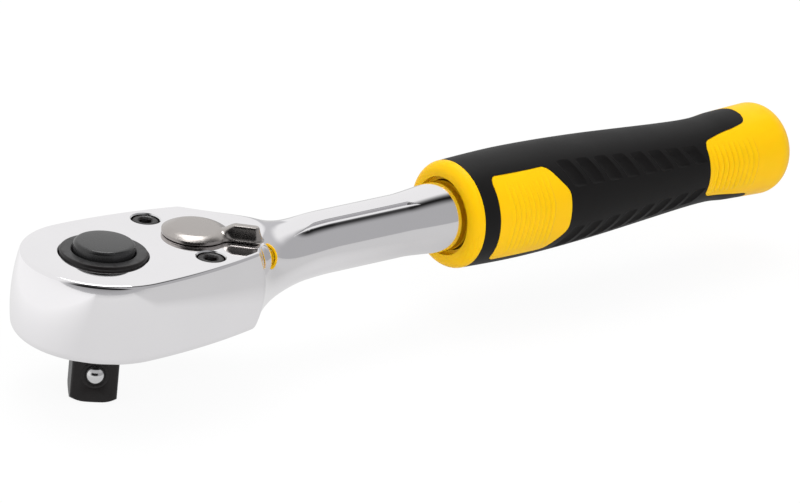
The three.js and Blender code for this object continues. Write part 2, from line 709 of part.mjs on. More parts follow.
function pawlPin() {
  const bottom = coverTop - PIN_IN_COVER + SLIDING;
  const top = roofUnder + PIN_IN_ROOF - SLIDING;
  return rod(PIN_RADIUS, bottom, top, SMALL_ROUND, pinX);
}

// Turns a piece that is drawn with its arm along +X at the origin to the lever's rest angle
function atLever(body) {
  return body.rotate([0, 0, THREE.MathUtils.radToDeg(LEVER_REST_ANGLE)]).translate([leverX, 0, 0]);
}

// A rod lying along X, for the lever's cross bore and what it holds
function crossRod(profile) {
  const points = profile.map(([along, radius]) => new THREE.Vector2(radius, along));
  const geometry = new THREE.LatheGeometry(points, SMALL_ROUND).rotateZ(-Math.PI / 2);
  return solid(geometry.translate(0, 0, pocketMiddle));
}

function reversingLever() {
  const base = headTop + LEVER_GAP;
  const rim = base + LEVER_DISC_RIM;
  const discTop = base + LEVER_DISC_HEIGHT;
  const shaftBottom = coverTop + END_PLAY;
  const sealZ = (roofUnder + headTop) / 2;
  const sealFloor = LEVER_SHAFT_RADIUS - 2 * LEVER_SEAL_WIRE - SLIDING / 2;
  const clipTop = roofUnder - RUNNING;
  const clipBottom = clipTop - CLIP_THICKNESS;
  const clipFloor = LEVER_SHAFT_RADIUS - CLIP_SEAT_DEPTH;
  let lever = revolve([
    [0, shaftBottom],
    [LEVER_SHAFT_RADIUS, shaftBottom],
    [LEVER_SHAFT_RADIUS, clipBottom - SLIDING],
    [clipFloor, clipBottom - SLIDING],
    [clipFloor, clipTop + SLIDING],
    [LEVER_SHAFT_RADIUS, clipTop + SLIDING],
    [LEVER_SHAFT_RADIUS, sealZ - LEVER_SEAL_WIRE - SLIDING],
    [sealFloor, sealZ - LEVER_SEAL_WIRE - SLIDING],
    [sealFloor, sealZ + LEVER_SEAL_WIRE + SLIDING],
    [LEVER_SHAFT_RADIUS, sealZ + LEVER_SEAL_WIRE + SLIDING],
    [LEVER_SHAFT_RADIUS, base],
    [LEVER_DISC_RADIUS - LEVER_UNDERCUT, base],
    [LEVER_DISC_RADIUS, base + LEVER_DISC_RIM / 2],
    [LEVER_DISC_RADIUS, rim],
    [LEVER_DISC_FLAT, discTop - LEVER_DISC_CROWN],
    [0, discTop],
  ], BORE_ROUND);
  const half = LEVER_FIN_WIDTH / 2;
  const rootX = Math.sqrt(LEVER_DISC_RADIUS ** 2 - LEVER_FIN_ROOT ** 2) - LEVER_UNDERCUT;
  const neckX = LEVER_DISC_RADIUS + LEVER_FIN_BLEND;
  const fin = new THREE.Shape();
  fin.moveTo(rootX, -LEVER_FIN_ROOT);
  fin.quadraticCurveTo(LEVER_DISC_RADIUS - LEVER_UNDERCUT, -half, neckX, -half);
  fin.absarc(LEVER_REACH - half, 0, half, -Math.PI / 2, Math.PI / 2, false);
  fin.lineTo(neckX, half);
  fin.quadraticCurveTo(LEVER_DISC_RADIUS - LEVER_UNDERCUT, half, rootX, LEVER_FIN_ROOT);
  lever = lever.add(prism(fin, base, base + LEVER_FIN_HEIGHT, 6));
  const bore = LEVER_PLUNGER_RADIUS + SLIDING;
  const blind = LEVER_SHAFT_RADIUS - LEVER_BORE_WALL;
  const wide = LEVER_SHAFT_RADIUS + 1;
  lever = lever.subtract(crossRod([[-wide, 0], [-wide, bore], [blind, bore], [blind, 0]]));
  return atLever(lever);
}

function pawlPlunger() {
  const tip = LEVER_SHAFT_RADIUS + LEVER_PLUNGER_PROUD;
  const tail = tip - LEVER_PLUNGER_LENGTH;
  const nose = [0, 30, 60, 90].map((degrees) => {
    const angle = degToRad(degrees);
    return [-tip + LEVER_PLUNGER_RADIUS * (1 - Math.cos(angle)), LEVER_PLUNGER_RADIUS * Math.sin(angle)];
  });
  return atLever(crossRod([...nose, [-tail, LEVER_PLUNGER_RADIUS], [-tail, 0]]));
}

function pawlSpring() {
  const tail = LEVER_SHAFT_RADIUS + LEVER_PLUNGER_PROUD - LEVER_PLUNGER_LENGTH;
  const blind = LEVER_SHAFT_RADIUS - LEVER_BORE_WALL;
  const radius = LEVER_PLUNGER_RADIUS - LEVER_SPRING_WIRE - SLIDING;
  const coil = spring(radius, LEVER_SPRING_WIRE, SLIDING - tail, blind - SLIDING, LEVER_SPRING_TURNS);
  return atLever(solid(coil.rotateY(Math.PI / 2).translate(0, 0, pocketMiddle)));
}

function leverClip() {
  const inner = LEVER_SHAFT_RADIUS - CLIP_SEAT_DEPTH + SLIDING;
  const top = roofUnder - RUNNING;
  const shape = openRing(0, inner, inner + CLIP_WIDTH, degToRad(35), 0);
  return atLever(prism(shape, top - CLIP_THICKNESS, top, 10));
}

// Radius of the grip along the handle, from the collar's round lip to the domed end
function gripProfile() {
  const lip = [0, 30, 60, 90].map((degrees) => {
    const angle = degToRad(degrees);
    const distance = COLLAR_ROUND * (1 - Math.cos(angle));
    return [gripStart + distance, COLLAR_LIP_RADIUS + (COLLAR_RADIUS - COLLAR_LIP_RADIUS) * Math.sin(angle)];
  });
  const waistSwell = (WAIST_AT + BULB_AT) / 2;
  const swellRadius = (WAIST_RADIUS + BULB_RADIUS) / 2;
  const knots = [
    [COLLAR_ROUND, COLLAR_RADIUS],
    [BELLY_AT, BELLY_RADIUS],
    [TAPER_AT, TAPER_RADIUS],
    [WAIST_AT, WAIST_RADIUS],
    [waistSwell, swellRadius],
    [BULB_AT, BULB_RADIUS],
  ];
  const side = new THREE.SplineCurve(knots.map(([at, radius]) => new THREE.Vector2(gripStart + at, radius)));
  const end = [18, 36, 54, 72, 90].map((degrees) => {
    const angle = degToRad(degrees);
    return [gripStart + BULB_AT + (GRIP_LENGTH - BULB_AT) * Math.sin(angle), BULB_RADIUS * Math.cos(angle)];
  });
  end[end.length - 1] = [gripEnd, 0];
  return [...lip, ...side.getPoints(11).slice(1).map((p) => [p.x, p.y]), ...end];
}

const gripPoints = gripProfile();

function gripRadius(x) {
  const next = gripPoints.findIndex(([at]) => at > x);
  const [x0, r0] = gripPoints[next - 1];
  const [x1, r1] = gripPoints[next];
  return r0 + ((r1 - r0) * (x - x0)) / (x1 - x0);
}

// The whole grip as one turned solid, drawn in by a depth
function gripBlank(depth) {
  const inner = gripPoints.slice(0, -1).map(([x, radius]) => [x, radius - depth]);
  return turn([[gripStart, 0], ...inner, [gripEnd - depth, 0]]);
}

// The layer that the soft sleeve fills before its windows are cut
function sleeveLayer(grow) {
  const start = gripStart + SLEEVE_START - grow;
  const end = gripStart + SLEEVE_END + grow;
  const wide = BELLY_RADIUS + BEYOND;
  const depth = SLEEVE_WALL + grow;
  const inside = gripPoints.filter(([x], i) => i % 3 === 0 && x > start + 1 && x < end - 1);
  const inner = inside.map(([x, radius]) => [x, radius - depth]);
  const floor = [[start, gripRadius(start) - depth], ...inner, [end, gripRadius(end) - depth]];
  return turn([floor[0], [start, wide], [end, wide], ...floor.reverse()]);
}

// Side view of the front window: straight front edge, nose to the rear
function windowShape(grow) {
  const front = gripStart + WINDOW_START - grow;
  const rear = gripStart + WINDOW_START + WINDOW_LENGTH + grow;
  const top = WINDOW_TOP + grow;
  const bottom = -WINDOW_BOTTOM - grow;
  const middle = (top + bottom) / 2;
  const shape = new THREE.Shape();
  shape.moveTo(front + WINDOW_CORNER, bottom);
  shape.lineTo(rear - WINDOW_NOSE, bottom);
  shape.quadraticCurveTo(rear, 0.6 * bottom, rear, middle);
  shape.quadraticCurveTo(rear, 0.6 * top, rear - WINDOW_NOSE, top);
  shape.lineTo(front + WINDOW_CORNER, top);
  shape.quadraticCurveTo(front, top, front, top - WINDOW_CORNER);
  shape.lineTo(front, bottom + WINDOW_CORNER);
  shape.quadraticCurveTo(front, bottom, front + WINDOW_CORNER, bottom);
  return shape;
}

// Side view of the end cap's forward tab, which spreads towards the end
function tabShape(grow) {
  const front = gripStart + TAB_START - grow;
  const rear = gripStart + SLEEVE_END + BEYOND;
  const spread = TAB_SPREAD * (rear - front);
  const top = TAB_TOP + grow;
  const bottom = -TAB_BOTTOM - grow;
  const shape = new THREE.Shape();
  shape.moveTo(front + TAB_CORNER / 2, bottom);
  shape.lineTo(rear, bottom - spread);
  shape.lineTo(rear, top + spread);
  shape.lineTo(front + TAB_CORNER, top);
  shape.quadraticCurveTo(front, top, front, top - TAB_CORNER);
  shape.lineTo(front, bottom + TAB_CORNER / 2);
  return shape;
}

// Where the hard core shows through the sleeve
function coreOpenings(grow) {
  const side = BELLY_RADIUS + BEYOND;
  return sideCut(windowShape(grow), SEAM_FROM_MIDDLE, side)
    .add(sideCut(windowShape(grow), -side, -SEAM_FROM_MIDDLE))
    .add(sideCut(tabShape(grow), -side, side));
}

// Slanted finger slots: two mirrored rows on each side of the sleeve
function sleeveSlots() {
  const side = BELLY_RADIUS + BEYOND;
  const cuts = [];
  for (let i = 0; i < SLOT_COUNT; i += 1) {
    const x = gripStart + SLOT_START + i * SLOT_PITCH;
    const fade = (SLOT_FADE * Math.max(0, i - SLOT_COUNT / 2)) / (SLOT_COUNT / 2);
    for (const row of [0, 1]) {
      const up = Math.sign(SLOT_OUTER_ANGLES[row]);
      const inner = gripRadius(x) * Math.sin(SLOT_INNER_ANGLES[row]);
      const outer = gripRadius(x) * Math.sin(SLOT_OUTER_ANGLES[row] - up * fade);
      const corners = [
        [x, inner],
        [x + SLOT_WIDTH, inner],
        [x + SLOT_WIDTH - SLOT_SLANT, outer],
        [x - SLOT_SLANT, outer],
      ];
      const shape = outline(up > 0 ? corners : corners.reverse());
      cuts.push(sideCut(shape, SEAM_FROM_MIDDLE, side), sideCut(shape, -side, -SEAM_FROM_MIDDLE));
    }
  }
  return cuts.reduce((all, next) => all.add(next)).subtract(gripBlank(SLOT_DEPTH));
}

function gripOvermould() {
  return gripBlank(0).intersect(sleeveLayer(0)).subtract(coreOpenings(0)).subtract(sleeveSlots());
}

function gripCore() {
  const shown = coreOpenings(-SEAM);
  const core = gripBlank(0).subtract(sleeveLayer(SEAM).subtract(shown));
  const shankBore = SHANK_END_RADIUS + RUNNING;
  const tangBore = TANG_RADIUS + RUNNING;
  return core.subtract(turn([
    [gripStart - 1, 0],
    [gripStart - 1, RECESS_RADIUS],
    [gripStart + RECESS_DEPTH, RECESS_RADIUS],
    [gripStart + RECESS_DEPTH, shankBore],
    [tangStart + RUNNING, shankBore],
    [tangStart + RUNNING, tangBore],
    [tangEnd + RUNNING, tangBore],
    [tangEnd + RUNNING, 0],
  ], BORE_ROUND));
}

// Finishes
const CHROME = { color: 0xd8d9dc, roughness: 0.12, metalness: 1.0 };
const SATIN_NICKEL = { color: 0xb5b1ac, roughness: 0.32, metalness: 1.0 };
const BLACK_OXIDE = { color: 0x1d1d1f, roughness: 0.45, metalness: 0.7 };
const BLACK_PLASTIC = { color: 0x2a2a2c, roughness: 0.5, metalness: 0.0 };
const BRIGHT_STEEL = { color: 0xc3c4c6, roughness: 0.2, metalness: 1.0 };
const SPRING_STEEL = { color: 0x77787a, roughness: 0.35, metalness: 1.0 };
const SEAL_RUBBER = { color: 0x161616, roughness: 0.8, metalness: 0.0 };
const YELLOW_PLASTIC = { color: 0xffcc0f, roughness: 0.35, metalness: 0.0 };
const BLACK_RUBBER = { color: 0x232020, roughness: 0.7, metalness: 0.0 };

const ratchet = new THREE.Group();

function addPiece(name, geometry, finish) {
  const mesh = new THREE.Mesh(geometry, new THREE.MeshStandardMaterial(finish));
  mesh.name = name;
  ratchet.add(mesh);
}

const hubSealRadius = HUB_RADIUS + RUNNING - HUB_SEAL_WIRE - SLIDING / 2;
const leverSealRadius = LEVER_SHAFT_RADIUS + RUNNING - LEVER_SEAL_WIRE - SLIDING / 2;
const sealHeight = (roofUnder + headTop) / 2;
const buttonSpringTop = buttonBottom - SLIDING;

addPiece('ratchet_body', surface(ratchetBody()), CHROME);
addPiece('cover_plate', surface(coverPlate()), CHROME);
addPiece('cover_screw_near', surface(coverScrew(-screwY)), BLACK_OXIDE);
addPiece('cover_screw_far', surface(coverScrew(screwY)), BLACK_OXIDE);
addPiece('drive_gear', surface(driveGear()), BLACK_OXIDE);
addPiece('hub_seal_ring', surface(wireRing(hubSealRadius, HUB_SEAL_WIRE, sealHeight)), SEAL_RUBBER);
addPiece('release_button', surface(releaseButton()), BLACK_PLASTIC);
addPiece('button_snap_ring', surface(buttonSnapRing()), SPRING_STEEL);
addPiece('release_plunger', surface(releasePlunger()), BRIGHT_STEEL);
addPiece(
  'release_spring',
  spring(SPRING_RADIUS, SPRING_WIRE, springFloor + SLIDING, buttonSpringTop, SPRING_TURNS),
  SPRING_STEEL,
);
addPiece('detent_ball', surface(detentBall()), BRIGHT_STEEL);
addPiece('pawl', surface(pawl()), SPRING_STEEL);
addPiece('pawl_pin', surface(pawlPin()), BRIGHT_STEEL);
addPiece('reversing_lever', surface(reversingLever()), SATIN_NICKEL);
addPiece('lever_seal_ring', surface(wireRing(leverSealRadius, LEVER_SEAL_WIRE, sealHeight, leverX)), SEAL_RUBBER);
addPiece('lever_clip', surface(leverClip()), SPRING_STEEL);
addPiece('pawl_plunger', surface(pawlPlunger()), BRIGHT_STEEL);
addPiece('pawl_spring', surface(pawlSpring()), SPRING_STEEL);
addPiece('grip_core', surface(gripCore()), YELLOW_PLASTIC);
addPiece('grip_overmould', surface(gripOvermould()), BLACK_RUBBER);

export default ratchet;
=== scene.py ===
"""Looks of a reversible ratchet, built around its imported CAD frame.

Sizes are in millimetres, in the frame of the CAD: +Z up the drive axis, +X along the handle.
Meshes are scaled to metres when they are made.
"""

import json
import logging
import math
from dataclasses import dataclass, field
from enum import Enum
from typing import Callable, Sequence

import bmesh
import bpy
import numpy as np
from mathutils import Matrix, Vector


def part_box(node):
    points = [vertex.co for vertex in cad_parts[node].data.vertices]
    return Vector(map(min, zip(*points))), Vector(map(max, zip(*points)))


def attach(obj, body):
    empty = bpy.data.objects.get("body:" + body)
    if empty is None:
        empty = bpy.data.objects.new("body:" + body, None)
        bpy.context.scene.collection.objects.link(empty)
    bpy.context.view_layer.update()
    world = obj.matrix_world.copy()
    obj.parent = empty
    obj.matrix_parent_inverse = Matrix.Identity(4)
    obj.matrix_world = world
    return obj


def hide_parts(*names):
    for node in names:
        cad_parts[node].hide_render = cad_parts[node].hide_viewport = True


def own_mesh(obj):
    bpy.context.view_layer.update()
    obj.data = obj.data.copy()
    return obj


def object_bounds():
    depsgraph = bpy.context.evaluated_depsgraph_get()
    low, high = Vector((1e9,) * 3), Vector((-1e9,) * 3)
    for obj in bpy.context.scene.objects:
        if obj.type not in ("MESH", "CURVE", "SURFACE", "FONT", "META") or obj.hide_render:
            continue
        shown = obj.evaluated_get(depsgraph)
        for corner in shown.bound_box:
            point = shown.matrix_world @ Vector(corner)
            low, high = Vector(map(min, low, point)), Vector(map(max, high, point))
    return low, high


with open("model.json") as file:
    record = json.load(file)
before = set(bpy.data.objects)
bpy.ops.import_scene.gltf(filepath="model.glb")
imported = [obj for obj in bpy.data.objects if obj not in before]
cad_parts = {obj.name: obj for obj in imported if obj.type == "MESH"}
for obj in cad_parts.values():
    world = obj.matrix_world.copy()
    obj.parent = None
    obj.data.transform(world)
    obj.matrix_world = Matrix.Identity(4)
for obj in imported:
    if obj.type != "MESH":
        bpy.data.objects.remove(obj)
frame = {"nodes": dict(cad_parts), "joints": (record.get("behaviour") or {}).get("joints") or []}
CAD_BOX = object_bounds()

log = logging.getLogger("ratchet")

MM = 0.001
FAR = 1e3
ON_AXIS = 1e-9
TINY = 1e-12
WELD = 1e-7
# How far a cutting tool reaches past the metal, and the room round a ring in its groove.
OVER = 1.0
GROOVE_FIT = 0.1
# Steps in a full turn.
FINE, ROUND, COARSE, ROUGH = 128, 64, 48, 32
NOISE_SPAN = (0.3, 0.7)
NOISE_DETAIL = 3.0
WORN_SPAN = (0.53, 0.62)
WORN_SHARE = 0.7
COVER_SCREWS = ("cover_screw_near", "cover_screw_far")

Piece = bpy.types.Object
Socket = bpy.types.NodeSocket
Tree = bpy.types.NodeTree
Point = Sequence[float]
Span = tuple[float, float]
Colour = tuple[float, float, float]
Distance = Callable[[np.ndarray], np.ndarray]


class Body(Enum):
    """The moving bodies that the scene's own pieces ride on."""

    HANDLE = "handle"
    DRIVE = "drive"
    BUTTON = "button"
    BALL = "ball"
    LEVER = "lever"


class Cut(Enum):
    """What one mesh does to another."""

    AWAY = "DIFFERENCE"
    JOIN = "UNION"
    KEEP_INSIDE = "INTERSECT"


class Side(Enum):
    """The two sides of the handle, as signs of Y."""

    NEAR = -1
    FAR = 1


def node_box(node: str) -> tuple[np.ndarray, np.ndarray]:
    """Lowest and highest corner of a CAD node.

    Args:
        node: Name of the node.

    Returns:
        Both corners in millimetres.
    """
    low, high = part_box(node)
    return np.array(low) / MM, np.array(high) / MM


def joint_named(name: str) -> dict:
    """The frame's joint of that name."""
    return next(item for item in frame["joints"] if item["name"] == name)


def joint_place(name: str) -> np.ndarray:
    """Where a hinge of the frame stands.

    Args:
        name: Name of the joint.

    Returns:
        Its point in millimetres.
    """
    return np.array(joint_named(name)["pos_m"]) / MM


@dataclass(frozen=True)
class Layout:
    """Places that several sub-assemblies share, read from the frame, in millimetres."""

    head_bottom: float
    head_top: float
    hub_top: float
    button_top: float
    handle_z: float
    lever_x: float
    grip_start: float
    grip_end: float
    gear_bottom: float
    gear_top: float
    roof_under: float
    cover_top: float

    @classmethod
    def from_frame(cls) -> "Layout":
        """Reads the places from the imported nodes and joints.

        Returns:
            The places.
        """
        body_low, body_high = node_box("ratchet_body")
        core_low, core_high = node_box("grip_core")
        pawl_low, pawl_high = node_box("pawl")
        _, cover_high = node_box("cover_plate")
        clearance = pawl_low[2] - cover_high[2]
        return cls(
            head_bottom=body_low[2],
            head_top=body_high[2],
            hub_top=node_box("drive_gear")[1][2],
            button_top=node_box("release_button")[1][2],
            handle_z=(core_low[2] + core_high[2]) / 2,
            lever_x=joint_place("lever_swing")[0],
            grip_start=core_low[0],
            grip_end=core_high[0],
            gear_bottom=pawl_low[2],
            gear_top=pawl_high[2],
            roof_under=pawl_high[2] + clearance,
            cover_top=cover_high[2],
        )


LAYOUT = Layout.from_frame()


# Mesh making


def add_object(name: str, data: bpy.types.ID | None) -> Piece:
    """Puts a new object in the scene.

    Args:
        name: Name of the object.
        data: What it shows, such as a mesh or a lamp.

    Returns:
        The object.
    """
    item = bpy.data.objects.new(name, data)
    bpy.context.scene.collection.objects.link(item)
    return item


def rework(mesh: bpy.types.Mesh, change: Callable[[bmesh.types.BMesh], object]) -> None:
    """Changes a mesh in an editing copy.

    Args:
        mesh: The mesh.
        change: What is done to the copy.
    """
    work = bmesh.new()
    work.from_mesh(mesh)
    change(work)
    work.to_mesh(mesh)
    work.free()


def new_piece(name: str, points: np.ndarray, faces: Sequence[Sequence[int]]) -> Piece:
    """Makes an object whose place is in its mesh, with its faces outward.

    Args:
        name: Name of the object.
        points: Corner points in millimetres.
        faces: Indices of the corners of each face.

    Returns:
        The new object, in the scene.
    """
    mesh = bpy.data.meshes.new(name)
    mesh.from_pydata((np.asarray(points, float) * MM).tolist(), [], [list(face) for face in faces])
    rework(mesh, lambda work: bmesh.ops.recalc_face_normals(work, faces=work.faces))
    return add_object(name, mesh)


def drop(piece: Piece) -> None:
    """Removes an object that only served to shape others."""
    bpy.data.objects.remove(piece, do_unlink=True)


def read(items: Sequence, name: str, width: int = 3, kind: type = float) -> np.ndarray:
    """Reads one value of all items of a mesh, such as its corners or faces.

    Args:
        items: The items.
        name: Name of the value.
        width: How many numbers each item has.
        kind: Their type.

    Returns:
        One row for each item.
    """
    values = np.zeros(len(items) * width, kind)
    items.foreach_get(name, values)
    return values.reshape(-1, width)


def corner_lists(mesh: bpy.types.Mesh) -> list[list[int]]:
    """The corners of each face of a mesh."""
    return [list(face.vertices) for face in mesh.polygons]


def eased(share: np.ndarray) -> np.ndarray:
    """A smooth step from 0 to 1, flat at both ends."""
    share = np.clip(share, 0, 1)
    return share * share * (3 - 2 * share)


def ring_faces(levels: int, count: int) -> list[list[int]]:
    """Faces between closed rings of equally many points, listed ring by ring.

    Args:
        levels: Number of rings.
        count: Points in each ring.

    Returns:
        Indices of the corners of each face.
    """
    faces = []
    for level in range(levels - 1):
        for i in range(count):
            here, after = level * count + i, level * count + (i + 1) % count
            faces.append([here, after, after + count, here + count])
    return faces


def strip_faces(rows: Sequence[Sequence[int]]) -> list[list[int]]:
    """Faces between open rows of equally many corners, where corners may be shared.

    Args:
        rows: Indices of the corners, row by row.

    Returns:
        Indices of the corners of each face.
    """
    return [
        list(dict.fromkeys([row[i], row[i + 1], after[i + 1], after[i]]))
        for row, after in zip(rows, rows[1:]) for i in range(len(row) - 1)
    ]


def rim(radius: float, top: float, edge: float, points: int) -> list[Span]:
    """Profile points of a rounded edge, from the side up to the top.

    Args:
        radius: Radius of the side.
        top: Height of the top.
        edge: Radius of the edge.
        points: How many points it has.

    Returns:
        Points of radius and height.
    """
    return [
        (radius - edge * (1 - math.cos(a)), top - edge * (1 - math.sin(a)))
        for a in np.linspace(0, math.pi / 2, points)
    ]


def groove(radius: float, floor: float, node: str) -> list[Span]:
    """Profile points of a groove that holds a ring, from the bottom up.

    Args:
        radius: Radius of the wall that it is cut in.
        floor: Radius of its floor.
        node: The ring's CAD node.

    Returns:
        Four points of radius and height.
    """
    low, high = node_box(node)
    bottom, top = low[2] - GROOVE_FIT, high[2] + GROOVE_FIT
    return [(radius, bottom), (floor, bottom), (floor, top), (radius, top)]


def upright(points: np.ndarray, x: float = 0.0, y: float = 0.0) -> np.ndarray:
    """Moves turned points, which stand about +Z, to an upright axis at (x, y)."""
    return points + np.array([x, y, 0.0])


def along_handle(points: np.ndarray) -> np.ndarray:
    """Lays turned points, which stand about +Z, along the axis of the handle."""
    return np.stack([points[:, 2], points[:, 1], points[:, 0] + LAYOUT.handle_z], axis=1)


def turned(
    name: str,
    profile: Sequence[Point],
    place: Callable[[np.ndarray], np.ndarray] = upright,
    segments: int = 96,
    ring: bool = False,
) -> Piece:
    """Turns a profile about an axis.

    Args:
        name: Name of the object.
        profile: Points of radius and height along the axis.
        place: Moves the points from about +Z to where the piece is.
        segments: Number of steps in a full turn.
        ring: Whether the profile closes on itself, clear of the axis.

    Returns:
        The closed solid.
    """
    angles = np.linspace(0, 2 * math.pi, segments, endpoint=False)
    points: list[Point] = []
    rows: list[list[int]] = []
    for radius, height in profile:
        start = len(points)
        if radius < ON_AXIS:
            points.append((0.0, 0.0, height))
            rows.append([start] * (segments + 1))
            continue
        points.extend((radius * math.cos(a), radius * math.sin(a), height) for a in angles)
        rows.append([*range(start, start + segments), start])
    faces = strip_faces(rows + rows[:1] if ring else rows)
    return new_piece(name, place(np.array(points)), faces)


def lofted(name: str, rings: np.ndarray) -> Piece:
    """Skins rings of equally many points and closes both ends.

    Args:
        name: Name of the object.
        rings: Array of rings, points and coordinates.

    Returns:
        The closed solid.
    """
    levels, count, _ = rings.shape
    faces = ring_faces(levels, count)
    faces.append(list(range(count)))
    faces.append(list(range((levels - 1) * count, levels * count)))
    return new_piece(name, rings.reshape(-1, 3), faces)


def prism(name: str, plan: np.ndarray, low: float, high: float) -> Piece:
    """Stands a plan shape between two heights.

    Args:
        name: Name of the object.
        plan: Points of x and y.
        low: Height of the bottom.
        high: Height of the top.

    Returns:
        The closed solid.
    """
    rings = [np.column_stack([plan, np.full(len(plan), height)]) for height in (low, high)]
    return lofted(name, np.stack(rings))


def side_prism(name: str, view: np.ndarray, side: Side, inner: float, outer: float) -> Piece:
    """Pushes a side-view shape through one side of the handle.

    Args:
        name: Name of the object.
        view: Points of x and height above the handle's axis.
        side: The side of the handle.
        inner: Distance from the middle plane to the near end of the prism.
        outer: Distance from the middle plane to the far end of the prism.

    Returns:
        The closed solid.
    """
    height = view[:, 1] + LAYOUT.handle_z
    rings = [
        np.column_stack([view[:, 0], np.full(len(view), side.value * distance), height])
        for distance in (inner, outer)
    ]
    return lofted(name, np.stack(rings))


def rounded(corners: Sequence[tuple[float, float, float]], steps: int = 8) -> np.ndarray:
    """Rounds the corners of a polygon.

    Args:
        corners: Points of x, y and the radius of that corner.
        steps: Points along each round, less one.

    Returns:
        The points of the rounded polygon.
    """
    points: list[np.ndarray] = []
    count = len(corners)
    for i, (x, y, radius) in enumerate(corners):
        here = np.array([x, y])
        if radius <= 0:
            points.append(here)
            continue
        before = np.array(corners[i - 1][:2]) - here
        after = np.array(corners[(i + 1) % count][:2]) - here
        before, after = before / np.linalg.norm(before), after / np.linalg.norm(after)
        half = math.acos(np.clip(before @ after, -1, 1)) / 2
        bisector = (before + after) / np.linalg.norm(before + after)
        centre = here + bisector * radius / math.sin(half)
        start = here + before * radius / math.tan(half) - centre
        end = here + after * radius / math.tan(half) - centre
        for share in np.linspace(0, 1, steps + 1):
            spoke = start * (1 - share) + end * share
            points.append(centre + spoke * radius / np.linalg.norm(spoke))
    return np.array(points)


def circle_points(
    x: float, y: float, radius: float, start: float, end: float, steps: int
) -> np.ndarray:
    """Points on a circular arc, with angles in degrees."""
    angles = np.radians(np.linspace(start, end, steps + 1))
    return np.stack([x + radius * np.cos(angles), y + radius * np.sin(angles)], axis=1)


def evaluated(piece: Piece) -> None:
    """Makes the result of an object's modifiers its own plain mesh.

    Args:
        piece: The object, which loses its modifiers.
    """
    graph = bpy.context.evaluated_depsgraph_get()
    mesh = bpy.data.meshes.new_from_object(piece.evaluated_get(graph))
    piece.modifiers.clear()
    piece.data = mesh


def shape(piece: Piece, tool: Piece, cut: Cut = Cut.AWAY) -> Piece:
    """Cuts or joins one object with another, which is used up.

    Args:
        piece: The object that is shaped.
        tool: The object that shapes it.
        cut: What the tool does.

    Returns:
        The shaped object.
    """
    modifier = piece.modifiers.new("shape", "BOOLEAN")
    modifier.operation = cut.value
    modifier.solver = "EXACT"
    modifier.material_mode = "TRANSFER"
    modifier.object = tool
    evaluated(piece)
    drop(tool)
    return piece


def merged(name: str, pieces: Sequence[Piece]) -> Piece:
    """Puts several closed meshes in one object and uses the objects up.

    Args:
        name: Name of the new object.
        pieces: The objects.

    Returns:
        The new object.
    """
    work = bmesh.new()
    for piece in pieces:
        work.from_mesh(piece.data)
    mesh = bpy.data.meshes.new(name)
    work.to_mesh(mesh)
    work.free()
    for piece in pieces:
        drop(piece)
    return add_object(name, mesh)


def smooth(piece: Piece, angle: float = 32.0) -> None:
    """Shades a piece smoothly up to an angle in degrees between its faces.

    Args:
        piece: The piece.
        angle: The largest angle that is shaded smooth.
    """
    mesh = piece.data
    mesh.polygons.foreach_set("use_smooth", np.ones(len(mesh.polygons), bool))
    mesh.set_sharp_from_angle(angle=math.radians(angle))


def slopes(distance: Distance, points: np.ndarray, step: float = 0.01) -> np.ndarray:
    """Unit normals of a distance field.

    Args:
        distance: The field, in millimetres.
        points: Points in millimetres.
        step: Half the step of the difference.

    Returns:
        One unit normal for each point.
    """
    offsets = np.eye(3) * step
    normals = np.stack([distance(points + o) - distance(points - o) for o in offsets], axis=1)
    return normals / np.maximum(np.linalg.norm(normals, axis=1, keepdims=True), TINY)


def true_normals(
    piece: Piece, distance: Distance, reach: float = 0.02, agree: float = 0.85
) -> None:
    """Gives the corners on a known surface that surface's own normals.

    Args:
        piece: A piece that is shaded smooth.
        distance: Distance field of the surface.
        reach: How far from the surface a corner may lie.
        agree: Least cosine between a face and the surface at its corner.
    """
    mesh = piece.data
    points = read(mesh.vertices, "co") / MM
    vertex = read(mesh.loops, "vertex_index", 1, int)[:, 0]
    sizes = read(mesh.polygons, "loop_total", 1, int)[:, 0]
    faced = np.repeat(read(mesh.polygons, "normal"), sizes, axis=0)
    normals = read(mesh.corner_normals, "vector", kind=np.float32)
    true = slopes(distance, points)[vertex]
    on_surface = (np.abs(distance(points)) < reach)[vertex]
    on_surface &= np.sum(true * faced, axis=1) > agree
    normals[on_surface] = true[on_surface]
    mesh.normals_split_custom_set(normals.tolist())


def round_max(a: np.ndarray, b: np.ndarray, radius: float) -> np.ndarray:
    """Intersection of two distance fields with a rounded edge."""
    outside = np.hypot(np.maximum(a + radius, 0), np.maximum(b + radius, 0))
    return np.minimum(np.maximum(a, b), -radius) + outside


# Node trees


def feed(node: bpy.types.Node, values: dict[str | int, object]) -> None:
    """Sets a node's inputs, by name or number, to values or to outputs of other nodes.

    Args:
        node: The node.
        values: Values or outputs, by the input's name or number.
    """
    for label, value in values.items():
        if isinstance(value, Socket):
            node.id_data.links.new(value, node.inputs[label])
        else:
            node.inputs[label].default_value = value


def add_node(
    tree: Tree, kind: str, values: dict[str | int, object] | None = None, **settings: str
) -> bpy.types.Node:
    """Adds a node to a tree.

    Args:
        tree: The tree.
        kind: Type of the node.
        values: What its inputs are set to.
        **settings: Its own properties.

    Returns:
        The new node.
    """
    node = tree.nodes.new(kind)
    for label, value in settings.items():
        setattr(node, label, value)
    feed(node, values or {})
    return node


def maths(tree: Tree, operation: str, *values: object) -> Socket:
    """Adds a math node and gives its result."""
    node = add_node(tree, "ShaderNodeMath", dict(enumerate(values)), operation=operation)
    return node.outputs[0]


